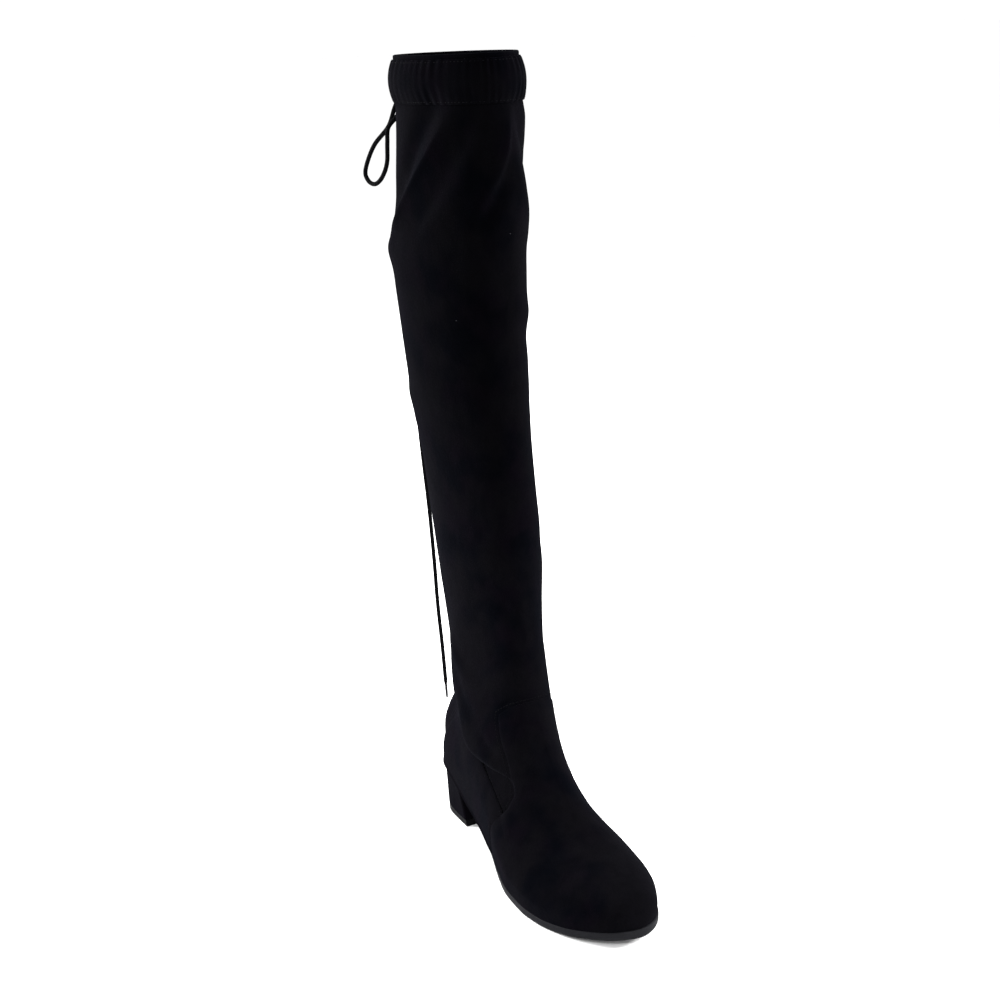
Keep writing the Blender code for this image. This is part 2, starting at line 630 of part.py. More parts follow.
def build_casing(look):
    """Hem round the collar with the drawcord in it, open at the back where the cord comes out."""
    keys = grid_keys()[-4:-1]
    mouth = mouth_turn()
    turns = [mouth] + [i / AROUND for i in range(AROUND + 1) if mouth + 0.01 < i / AROUND < 1 - mouth - 0.01]
    turns += [1 - mouth]
    edge = GAP + OVERLAY_WALL
    loops = []
    for turn in turns:
        inner = [surface_point(key, turn, GAP) for key in keys]
        outer = [surface_point(keys[0], turn, edge),
                 surface_point((keys[0] + keys[1]) / 2, turn, edge + 0.75 * CASING_SWELL),
                 surface_point(keys[1], turn, edge + CASING_SWELL),
                 surface_point((keys[1] + keys[2]) / 2, turn, edge + 0.75 * CASING_SWELL),
                 surface_point(keys[2], turn, edge)]
        loops.append(inner + outer[::-1])
    return loft("drawcord_casing", loops, look)


# Drawcord

def smooth_route(points, spacing):
    """Points a spacing apart on a smooth curve through a cord's own points."""
    points = [np.array(point) for point in points]
    points = [2 * points[0] - points[1]] + points + [2 * points[-1] - points[-2]]
    dense = []
    for a, b, c, d in zip(points, points[1:], points[2:], points[3:]):
        for i in range(20):
            u = i / 20
            dense.append(0.5 * (2 * b + (c - a) * u + (2 * a - 5 * b + 4 * c - d) * u * u
                                + (3 * b - a - 3 * c + d) * u ** 3))
    dense.append(points[-2])
    lengths = np.concatenate([[0], np.cumsum([np.linalg.norm(q - p) for p, q in zip(dense, dense[1:])])])
    count = max(2, round(lengths[-1] / spacing))
    return [np.array([np.interp(lengths[-1] * i / count, lengths, [p[axis] for p in dense])
                      for axis in range(3)]) for i in range(count + 1)]


def tube(name, points, diameter, look):
    """A round cord through points, with filled caps."""
    data = bpy.data.curves.new(name, "CURVE")
    data.dimensions = "3D"
    data.bevel_depth = diameter / 2
    data.bevel_resolution = 2
    data.use_fill_caps = True
    spline = data.splines.new("POLY")
    spline.points.add(len(points) - 1)
    for target, point in zip(spline.points, points):
        target.co = (*world(*point), 1.0)
    return link(bpy.data.objects.new(name, data), look)


def build_knot(look):
    """The tied knot of the bow, as a plain lump."""
    bpy.ops.mesh.primitive_uv_sphere_add(segments=14, ring_count=9, radius=KNOT_SIZE / 2)
    obj = bpy.context.object
    obj.name = "drawcord_knot"
    for vert in obj.data.vertices:
        vert.co *= Vector(KNOT_STRETCH)
    for collection in list(obj.users_collection):
        collection.objects.unlink(obj)
    obj.data.shade_smooth()
    obj.location = world(*KNOT_PLACE)
    return link(obj, look)


def build_aglet(name, end, look):
    """Tapered metal end, a gap below the cord's end and in line with it."""
    tip = np.array(end[-1])
    line = tip - np.array(end[-2])
    line = line / np.linalg.norm(line)
    start = tip + line * GAP
    data_points = [start + line * AGLET_LENGTH * share for share in (0.0, 0.25, 0.6, 1.0)]
    obj = tube(name, data_points, AGLET_DIAMETER, look)
    for point, radius in zip(obj.data.splines[0].points, (1.0, 1.0, 0.95, 0.62)):
        point.radius = radius
    return obj


def build_drawcord(cord_look, metal_look):
    """Knot, two loops of the bow, two hanging ends and their aglets."""
    build_knot(cord_look)
    for name, points, share in (("drawcord_loop_lateral", LOOP_LATERAL, 2.3),
                                ("drawcord_loop_medial", LOOP_MEDIAL, 2.3),
                                ("drawcord_end_lateral", END_LATERAL, 3.0),
                                ("drawcord_end_medial", END_MEDIAL, 3.0)):
        tube(name, smooth_route(points, share * CORD_DIAMETER), CORD_DIAMETER, cord_look)
    build_aglet("drawcord_aglet_lateral", END_LATERAL, metal_look)
    build_aglet("drawcord_aglet_medial", END_MEDIAL, metal_look)


def build_feeds(look):
    """The two short stretches of cord between the casing's mouths and the knot."""
    key = grid_keys()[-3]
    mouth = mouth_turn()
    reach = KNOT_STRETCH[0] * KNOT_SIZE / 2 + 4 * GAP
    for name, turn, side in (("drawcord_feed_lateral", mouth, -1), ("drawcord_feed_medial", 1 - mouth, 1)):
        lift = GAP + OVERLAY_WALL + 0.5 * CORD_DIAMETER
        start = surface_point(key, turn, lift)
        start[0] -= side * 4 * GAP
        end = np.array(KNOT_PLACE) + np.array((side * reach, 0.0, FEED_END_RISE))
        middle = (start + end) / 2
        tube(name, smooth_route((start, middle, end), CORD_DIAMETER), CORD_DIAMETER * 0.9, look)


# The boot

def clear_scene():
    for obj in list(bpy.data.objects):
        bpy.data.objects.remove(obj)


def centre_on_floor(cord_names):
    """Moves the boot so that the middle of its box, without the cord, is over the origin."""
    bpy.context.view_layer.update()
    graph = bpy.context.evaluated_depsgraph_get()
    low = np.full(3, 1e9)
    high = np.full(3, -1e9)
    for obj in bpy.data.collections[COLLECTION].objects:
        if obj.type == "MESH" and not obj.name.startswith(cord_names):
            corners = np.array([obj.matrix_world @ vert.co for vert in obj.evaluated_get(graph).data.vertices])
            low = np.minimum(low, corners.min(axis=0))
            high = np.maximum(high, corners.max(axis=0))
    root = bpy.data.objects["boot_root"]
    root.location = (-(low[0] + high[0]) / 2, -(low[1] + high[1]) / 2, -low[2])


def build_boot():
    clear_scene()
    for name in (COLLECTION, "cutters"):
        bpy.context.scene.collection.children.link(bpy.data.collections.new(name))
    bpy.data.collections[COLLECTION].objects.link(bpy.data.objects.new("boot_root", None))
    suede = material("black_suede", SUEDE, 0.95)
    rubber = material("sole_rubber", RUBBER, 0.55)
    lining = material("insole_fabric", SUEDE_LINING, 0.85)
    cord = material("cord_fabric", CORD, 0.80)
    metal = material("aglet_metal", METAL, 0.35, 1.0)
    build_outsole(rubber)
    build_heel_block(material("heel_cover_suede", SUEDE, 0.95))
    build_top_lift(material("top_lift_rubber", RUBBER, 0.60))
    build_insole(lining)
    build_upper(suede)
    build_vamp(material("vamp_suede", SUEDE, 0.95))
    build_counter(material("counter_suede", SUEDE, 0.95))
    build_casing(material("casing_suede", SUEDE, 0.95))
    build_drawcord(cord, metal)
    build_feeds(cord)
    centre_on_floor(("drawcord_knot", "drawcord_loop", "drawcord_end", "drawcord_aglet", "drawcord_feed"))


build_boot()
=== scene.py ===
"""Looks of the thigh high boot: black suede on a soft shaft, vamp and heel counter, covered block heel,
thin rubber sole, and a drawcord tied at the back of the collar.

Places are given in the boot's own lengths: medial from the middle of the last, forward from the back
of the heel, and up from the floor, in metres.
"""
import math

import bmesh
import bpy
import numpy as np
from mathutils import Matrix, Vector

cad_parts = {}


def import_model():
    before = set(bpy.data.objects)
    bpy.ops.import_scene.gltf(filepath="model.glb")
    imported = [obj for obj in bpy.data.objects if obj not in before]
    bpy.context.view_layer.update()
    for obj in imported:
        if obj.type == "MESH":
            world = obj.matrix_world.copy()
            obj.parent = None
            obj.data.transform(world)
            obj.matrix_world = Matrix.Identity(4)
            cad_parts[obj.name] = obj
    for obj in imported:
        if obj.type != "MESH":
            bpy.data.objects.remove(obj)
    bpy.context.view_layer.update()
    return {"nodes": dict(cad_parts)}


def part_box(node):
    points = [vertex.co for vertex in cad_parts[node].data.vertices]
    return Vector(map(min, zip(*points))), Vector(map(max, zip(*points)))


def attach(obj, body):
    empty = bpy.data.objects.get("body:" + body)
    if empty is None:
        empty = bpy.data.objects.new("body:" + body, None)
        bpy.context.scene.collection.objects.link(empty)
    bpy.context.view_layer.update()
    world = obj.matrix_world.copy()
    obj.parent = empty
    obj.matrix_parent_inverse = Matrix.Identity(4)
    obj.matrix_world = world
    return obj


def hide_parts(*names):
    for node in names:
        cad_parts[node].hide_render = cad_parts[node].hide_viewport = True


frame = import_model()
MM = 0.001

# Driving dimensions, as in the solids

SOLE_LENGTH = 0.237
BALL_WIDTH = 0.080
SEAT_HEIGHT = 0.0365
TOE_SPRING = 0.006
SOLE_EDGE = 0.0063
SOLE_LIP = 0.0020
INSTEP_HEIGHT = 0.116
BOOT_HEIGHT = 0.530
SHAFT_DEPTH = 0.1205
SHAFT_WIDTH = 0.0766
UPPER_WALL = 0.0018
OVERLAY_LIFT = 0.0015     # outer face of vamp and counter over the upper
HEEL_DEPTH = 0.0535
HEEL_SEAT_DEPTH = 0.046
HEEL_WIDTH = 0.0556
HEEL_BACK_SLANT = 0.0035
HEEL_ROUND = 0.56
HEEL_BREAST_SLANT = 0.30
TOP_LIFT = 0.0045
CASING_HEIGHT = 0.026
CASING_DROP = 0.002
CASING_MOUTH = 0.022
CASING_SWELL = 0.0021
COLLAR_LENGTH = 0.1685
CORD_DIAMETER = 0.0030
AGLET_DIAMETER = 0.0021
AGLET_LENGTH = 0.011
GAP = 0.0003

# Drawcord routes: medial, forward, up

KNOT_PLACE = (-0.0020, -0.0178, 0.5100)
LOOP_LATERAL = ((-0.0078, -0.0196, 0.5074), (-0.0140, -0.0181, 0.4972), (-0.0180, -0.0216, 0.4851),
                (-0.0250, -0.0320, 0.4727), (-0.0290, -0.0397, 0.4571), (-0.0290, -0.0364, 0.4501),
                (-0.0270, -0.0298, 0.4480), (-0.0240, -0.0244, 0.4523), (-0.0220, -0.0188, 0.4620),
                (-0.0215, -0.0170, 0.4750), (-0.0203, -0.0164, 0.4849), (-0.0140, -0.0150, 0.4920),
                (-0.0082, -0.0185, 0.5000), (-0.0052, -0.0216, 0.5056))
LOOP_MEDIAL = ((0.0040, -0.0195, 0.5074), (0.0110, -0.0205, 0.4990), (0.0165, -0.0240, 0.4880),
               (0.0215, -0.0300, 0.4760), (0.0235, -0.0340, 0.4640), (0.0205, -0.0340, 0.4570),
               (0.0155, -0.0310, 0.4590), (0.0115, -0.0275, 0.4700), (0.0090, -0.0262, 0.4820),
               (0.0065, -0.0255, 0.4940), (0.0028, -0.0219, 0.5054))
END_LATERAL = ((-0.0030, -0.0188, 0.5049), (-0.0056, -0.0232, 0.4850), (-0.0100, -0.0255, 0.4500),
               (-0.0115, -0.0268, 0.4050), (-0.0108, -0.0268, 0.3500), (-0.0092, -0.0265, 0.3000),
               (-0.0072, -0.0262, 0.2530), (-0.0052, -0.0260, 0.2150), (-0.0040, -0.0260, 0.1750),
               (-0.0035, -0.0260, 0.1400), (-0.0020, -0.0260, 0.1050), (-0.0012, -0.0260, 0.0740))
END_MEDIAL = ((0.0007, -0.0187, 0.5050), (0.0024, -0.0235, 0.4850), (0.0048, -0.0252, 0.4500),
              (0.0062, -0.0266, 0.4050), (0.0066, -0.0266, 0.3500), (0.0064, -0.0264, 0.3000),
              (0.0062, -0.0262, 0.2450))


def boot_origin():
    """Where the boot's own origin lies in the frame, read from the knot."""
    low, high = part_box("drawcord_knot")
    centre = (low + high) / 2
    return Vector((centre.x - KNOT_PLACE[0], centre.y + KNOT_PLACE[1], centre.z - KNOT_PLACE[2]))


ORIGIN = boot_origin()


def world(point):
    """A place of the boot in the frame's axes: the toe points along -Y."""
    return Vector((ORIGIN.x + point[0], ORIGIN.y - point[1], ORIGIN.z + point[2]))


# Sections of the last, as in the solids

FOOT_COLUMNS = ("seat", "feather_lateral", "feather_medial", "top", "top_height",
                "wide_lateral", "wide_medial", "middle", "side", "shoulder")
FOOT_SECTIONS = (
    (1, -0.017, 0.017, 1, 0.106, -0.017, 0.017, 0.017, 0.4, 2.1),
    (0.9916, 0.091, 0.109, 0.9905, 0.176, 0.096, 0.113, 0.019, 0.4, 2.1),
    (0.97, 0.204, 0.197, 0.966, 0.226, 0.213, 0.206, 0.021, 0.38, 2.05),
    (0.928, 0.330, 0.284, 0.92, 0.262, 0.339, 0.292, 0.023, 0.35, 1.95),
    (0.865, 0.453, 0.370, 0.857, 0.296, 0.462, 0.378, 0.027, 0.31, 1.85),
    (0.789, 0.527, 0.422, 0.783, 0.336, 0.537, 0.430, 0.032, 0.27, 1.74),
    (0.709, 0.561, 0.435, 0.713, 0.386, 0.570, 0.443, 0.032, 0.25, 1.67),
    (0.633, 0.553, 0.407, 0.654, 0.450, 0.564, 0.417, 0.029, 0.24, 1.62),
    (0.5485, 0.510, 0.357, 0.6, 0.538, 0.522, 0.369, 0.025, 0.26, 1.6),
    (0.456, 0.446, 0.332, 0.551, 0.650, 0.465, 0.349, 0.020, 0.29, 1.62),
    (0.359, 0.397, 0.328, 0.513, 0.782, 0.421, 0.349, 0.015, 0.33, 1.7),
    (0.262, 0.373, 0.336, 0.486, 0.926, 0.396, 0.359, 0.009, 0.36, 1.82),
    (0.177, 0.360, 0.353, 0.472, 1.075, 0.382, 0.367, 0.005, 0.38, 1.95),
    (0.101, 0.334, 0.334, 0.4655, 1.232, 0.376, 0.367, 0.002, 0.4, 2),
    (0.038, 0.244, 0.244, 0.462, 1.378, 0.372, 0.367, 0.000, 0.42, 2),
    (0, 0.000, 0.000, 0.4595, 1.480, 0.370, 0.365, 0.000, 0.44, 2),
)
SHAFT_COLUMNS = ("back_height", "back", "front_height", "front", "half_width", "middle", "side", "shoulder")
SHAFT_SECTIONS = (
    (0.094, -0.016, 0.345, 0.899, 0.388, 0.000, 0.45, 2.0),
    (0.125, 0.009, 0.364, 0.896, 0.388, 0.000, 0.46, 2.0),
    (0.151, 0.050, 0.381, 0.894, 0.386, 0.000, 0.47, 2.0),
    (0.179, 0.110, 0.400, 0.890, 0.386, 0.000, 0.48, 2.0),
    (0.226, 0.166, 0.426, 0.882, 0.390, 0.000, 0.49, 2.0),
    (0.283, 0.129, 0.458, 0.870, 0.398, 0.000, 0.50, 2.0),
    (0.368, 0.054, 0.498, 0.853, 0.402, -0.003, 0.50, 2.0),
    (0.472, -0.021, 0.557, 0.832, 0.411, -0.008, 0.50, 2.0),
    (0.585, -0.108, 0.628, 0.822, 0.450, -0.018, 0.50, 2.0),
    (0.679, -0.149, 0.694, 0.826, 0.478, -0.026, 0.50, 2.0),
    (0.755, -0.162, 0.757, 0.838, 0.500, -0.032, 0.50, 2.0),
    (0.849, -0.120, 0.849, 0.880, 0.465, -0.012, 0.50, 2.0),
    (0.943, -0.088, 0.943, 0.880, 0.432, -0.008, 0.50, 2.0),
    (1.000, -0.080, 1.000, 0.880, 0.430, -0.008, 0.50, 2.0),
)
UNDER_COLUMNS = ("forward", "arch", "spring", "edge")
UNDER_ROWS = (
    (0.00, 1.000, 0.0, 0.50),
    (0.07, 0.992, 0.0, 0.50),
    (0.12, 0.965, 0.0, 0.50),
    (0.165, 0.895, 0.0, 0.50),
    (0.205, 0.800, 0.0, 0.50),
    (0.265, 0.645, 0.0, 0.52),
    (0.32, 0.525, 0.0, 0.60),
    (0.42, 0.320, 0.0, 0.74),
    (0.54, 0.085, 0.0, 0.95),
    (0.59, 0.015, 0.0, 1.00),
    (0.64, 0.000, 0.0, 1.00),
    (0.77, 0.000, 0.0, 1.00),
    (0.88, 0.000, 0.36, 1.00),
    (1.00, 0.000, 1.0, 1.00),
)
FOLD_COLUMNS = ("side", "forward", "height", "reach_forward", "reach_up", "swell")
FOLD_ROWS = (
    (-1, -0.06, 0.772, 0.34, 0.030, 0.050),
    (-1, -0.04, 0.590, 0.30, 0.022, 0.022),
    (1, 0.75, 0.700, 0.30, 0.026, 0.020),
    (0, 0.86, 0.610, 0.22, 0.020, 0.012),
)
ANKLE_PLACE = (0.24, 0.184)
ANKLE_REACH = (0.26, 0.060)
ANKLE_HOLLOW = 0.0105


def named_rows(columns, rows):
    """A table's rows, each as a dictionary by the columns' names."""
    return [dict(zip(columns, values)) for values in rows]


def named_columns(columns, rows):
    """A table's columns as arrays, by their names."""
    return dict(zip(columns, np.array(rows, float).T))


def unit(vectors):
    """Vectors of length 1 in the same directions."""
    return vectors / np.maximum(np.linalg.norm(vectors, axis=-1, keepdims=True), 1e-12)


def slopes(places, values):
    """Slopes of a smooth curve through the points that never runs past one of them."""
    step = np.diff(places)
    rise = np.diff(values) / step
    result = np.zeros(len(places))
    result[0] = rise[0]
    result[-1] = rise[-1]
    for i in range(1, len(places) - 1):
        if rise[i - 1] * rise[i] > 0:
            before = 2 * step[i] + step[i - 1]
            after = step[i] + 2 * step[i - 1]
            result[i] = (before + after) / (before / rise[i - 1] + after / rise[i])
    return result


def smooth(places, values, at):
    """Values at an array of places, on the smooth curve through a table's points."""
    places = np.asarray(places, float)
    values = np.asarray(values, float)
    tangents = slopes(places, values)
    at = np.clip(at, places[0], places[-1])
    i = np.clip(np.searchsorted(places, at, side="right") - 1, 0, len(places) - 2)
    step = places[i + 1] - places[i]
    u = (at - places[i]) / step
    rise = values[i + 1] - values[i]
    start = tangents[i] * step
    end = tangents[i + 1] * step
    return values[i] + u * (start + u * (3 * rise - 2 * start - end + u * (start + end - 2 * rise)))


UNDER = named_columns(UNDER_COLUMNS, UNDER_ROWS)


def under_height(forward):
    """Height of the sole's underside."""
    share = np.asarray(forward) / SOLE_LENGTH
    rise = SEAT_HEIGHT - SOLE_EDGE * UNDER["edge"][0]
    return (rise * smooth(UNDER["forward"], UNDER["arch"], share)
            + TOE_SPRING * smooth(UNDER["forward"], UNDER["spring"], share))


def feather_height(forward):
    """Height of the feather line, where the upper meets the sole."""
    share = np.asarray(forward) / SOLE_LENGTH
    return under_height(forward) + SOLE_EDGE * smooth(UNDER["forward"], UNDER["edge"], share)


def station(share):
    """Key of a foot section, from the toe (0) round the sole's curve to the heel (1)."""
    return 1 - np.arccos(1 - 2 * np.asarray(share)) / math.pi


def section_rows():
    """All sections as columns of real lengths, keyed 0 at the toe, 1 at the heel and 2 at the collar."""
    rows = []
    for row in named_rows(FOOT_COLUMNS, FOOT_SECTIONS):
        seat = row["seat"] * SOLE_LENGTH
        rows.append((float(station(row["seat"])), seat, float(feather_height(seat)), row["top"] * SOLE_LENGTH,
                     row["top_height"] * INSTEP_HEIGHT, row["wide_lateral"] * BALL_WIDTH,
                     row["wide_medial"] * BALL_WIDTH, row["feather_lateral"] * BALL_WIDTH,
                     row["feather_medial"] * BALL_WIDTH, row["middle"] * BALL_WIDTH,
                     row["side"], row["shoulder"]))
    for row in named_rows(SHAFT_COLUMNS, SHAFT_SECTIONS):
        height = row["back_height"] * BOOT_HEIGHT
        half = row["half_width"] * SHAFT_WIDTH
        middle = row["middle"] * SHAFT_WIDTH
        rows.append((1 + (height - SEAT_HEIGHT) / (BOOT_HEIGHT - SEAT_HEIGHT), row["back"] * SHAFT_DEPTH,
                     height, row["front"] * SHAFT_DEPTH, row["front_height"] * BOOT_HEIGHT,
                     half - middle, half + middle, 0.0, 0.0, middle, row["side"], row["shoulder"]))
    return np.array(rows).T


SECTIONS = section_rows()
FEATHER_COLUMNS = slice(7, 10)      # the feather line's lateral and medial reach, and the middle
LOWER_TURN = 0.42         # share of a half section that lies under its widest place


def last_points(keys, around):
    """Points of the last's surface, as medial, forward and up, at arrays of keys and turns around."""
    (back, back_height, top, top_height, wide_lateral, wide_medial, feather_lateral, feather_medial,
     middle, side, shoulder) = [smooth(SECTIONS[0], column, keys) for column in SECTIONS[1:]]
    seat = SOLE_LENGTH * (1 - np.cos((1 - np.minimum(keys, 1)) * math.pi)) / 2
    back = np.where(keys < 1, seat, back)
    back_height = np.where(keys < 1, feather_height(seat), back_height)
    lateral = around < 0.5
    turn = 1 - np.abs(2 * around - 1)
    feather = np.where(lateral, feather_lateral + middle, feather_medial - middle)
    wide = np.where(lateral, wide_lateral + middle, wide_medial - middle)
    low_angle = np.minimum(turn / LOWER_TURN, 1) * math.pi / 2
    lift = 1 - 0.5 * np.clip(feather / np.maximum(wide, 1e-9), 0, 1) ** 2
    high_angle = np.clip((turn - LOWER_TURN) / (1 - LOWER_TURN), 0, 1) * math.pi / 2
    under = turn < LOWER_TURN
    reach = np.where(under, feather + (wide - feather) * np.sin(low_angle),
                     np.maximum(wide, 0) * np.maximum(np.cos(high_angle), 0) ** (2 / shoulder))
    share = np.where(under, side * (1 - np.cos(low_angle)) ** lift,
                     side + (1 - side) * np.sin(high_angle) ** (2 / shoulder))
    medial = middle + np.where(lateral, -reach, reach)
    return np.stack((medial, back + (top - back) * share,
                     back_height + (top_height - back_height) * share), -1)


def out_directions(keys, around):
    """Directions straight out of the last's surface."""
    step = 0.004
    along = last_points(np.minimum(keys + step, 2), around) - last_points(np.maximum(keys - step, 0), around)
    across = (last_points(keys, np.minimum(around + step, 1))
              - last_points(keys, np.maximum(around - step, 0)))
    out = unit(np.cross(along, across))
    out[keys < 0.004] = (0.0, 1.0, 0.0)
    return out


def hill(distance):
    """A soft hill: 1 in the middle and near 0 from a distance of 1."""
    return np.exp(-2.5 * distance * distance)


def base_swell(points):
    """How far the main soft folds and the hollow behind the ankle move the surface."""
    medial, forward, up = points[..., 0], points[..., 1], points[..., 2]
    total = np.zeros(medial.shape)
    for row in named_rows(FOLD_COLUMNS, FOLD_ROWS):
        ahead = (forward - row["forward"] * SHAFT_DEPTH) / (row["reach_forward"] * SHAFT_DEPTH)
        above = (up - row["height"] * BOOT_HEIGHT) / (row["reach_up"] * BOOT_HEIGHT)
        share = 1.0
        if row["side"]:
            share = 1 / (1 + np.exp(-row["side"] * medial / (0.12 * SHAFT_WIDTH)))
        total += row["swell"] * SHAFT_WIDTH * share * hill(np.hypot(ahead, above))
    ahead = (forward / SHAFT_DEPTH - ANKLE_PLACE[0]) / ANKLE_REACH[0]
    above = (up / BOOT_HEIGHT - ANKLE_PLACE[1]) / ANKLE_REACH[1]
    beside = np.minimum(np.abs(medial) / (0.25 * SHAFT_WIDTH), 1.0)
    return total - ANKLE_HOLLOW * beside * hill(np.hypot(ahead, above) * 0.8)


def formed_points(keys, around):
    """The upper's surface with its main folds, and the directions out of it."""
    points = last_points(keys, around)
    out = out_directions(keys, around)
    swell = base_swell(points)
    rise = np.minimum(np.minimum(around, 1 - around) * 10, 1.0)
    swell = np.where(keys < 1, swell * rise, swell)
    return points + out * swell[..., None], out


# Seams and folds in the upper's own coordinates: key along the boot, turn round it (0 lateral feather
# line, 0.5 ridge, 1 medial feather line)

SEAM_LOW_LATERAL = ((0.000, 0.5165), (0.120, 0.5240), (0.228, 0.5281), (0.272, 0.5243), (0.301, 0.5167),
                    (0.326, 0.5106))
SEAM_LOW_MEDIAL = ((0.698, 0.5319), (0.723, 0.5305), (0.755, 0.5295), (0.832, 0.5267), (0.900, 0.5210),
                   (1.000, 0.5140))
TAB_LATERAL = ((0.5106, 0.326), (0.5185, 0.340), (0.532, 0.3525), (0.555, 0.362), (0.590, 0.366),
               (0.636, 0.360), (0.670, 0.356), (0.704, 0.358), (0.714, 0.362))
TAB_MEDIAL = ((0.5319, 0.698), (0.536, 0.680), (0.549, 0.661), (0.569, 0.650), (0.611, 0.643),
              (0.648, 0.644), (0.672, 0.645), (0.693, 0.640), (0.706, 0.636))
TAB_TOP = ((0.362, 0.716), (0.403, 0.7084), (0.438, 0.6995), (0.500, 0.6919), (0.562, 0.6995),
           (0.597, 0.7084), (0.636, 0.714))
COUNTER_TOP_LATERAL = ((0.5178, 0.2968), (0.5628, 0.2875), (0.6212, 0.2732), (0.6542, 0.2661),
                       (0.7318, 0.2480), (0.8005, 0.2400), (0.9200, 0.2310), (1.0004, 0.2150),
                       (1.0500, 0.1660), (1.0900, 0.1120), (1.1114, 0.0716), (1.1240, 0.0))
COUNTER_TOP_MEDIAL = ((0.5305, 0.2775), (0.5666, 0.2750), (0.6171, 0.2680), (0.6473, 0.2612),
                      (0.7167, 0.2385), (0.7936, 0.2209), (0.9960, 0.2013), (1.1114, 0.0700), (1.1240, 0.0))
SEAM_GAP = 0.0022         # between vamp and counter, as a step of the key
SEAM_STEPS = 24
TAB_START = SEAM_LOW_LATERAL[-1][0]       # turns where the tab leaves the seam
TAB_END = SEAM_LOW_MEDIAL[0][0]
TAB_TOP_PATH = tuple((key, turn) for turn, key in TAB_TOP)
TAB_LEFT = TAB_LATERAL + TAB_TOP_PATH[:1]
TAB_RIGHT = TAB_MEDIAL + TAB_TOP_PATH[-1:]

# The slouched fold over the counter. Its edge, seen from the side, and the fold's cross section: distance
# above the edge, how far the cloth slides down and how far it stands out, in millimetres
SLOUCH_EDGE = ((0.120, 0.905), (0.165, 0.880), (0.214, 0.862), (0.250, 0.805), (0.272, 0.735),
               (0.292, 0.672), (0.322, 0.640), (0.366, 0.628), (0.410, 0.622), (0.460, 0.608),
               (0.500, 0.590), (0.528, 0.540), (0.542, 0.480), (0.540, 0.430), (0.524, 0.385))
SLOUCH_COLUMNS = ("above", "slide", "stand")
SLOUCH_PROFILE = ((-16, 0.0, 0.0), (-10, -0.3, -0.3), (-6.5, -1.4, -0.9), (-4.2, -2.0, -1.1),
                  (-2.6, -1.2, -0.3), (-1.2, 0.7, 1.2), (0, 2.0, 2.5), (1.6, 2.6, 3.4), (4, 2.4, 3.9),
                  (9, 1.6, 3.5), (16, 0.8, 2.2), (26, 0.2, 0.8), (40, 0.0, 0.0))
SLOUCH_REACH = 0.042      # how far from its edge the fold moves the cloth
SLOUCH_ENDS = ((0, 0.14, 0.86, 1.0), (0.0, 1.0, 1.0, 0.35))      # how the fold fades along its edge

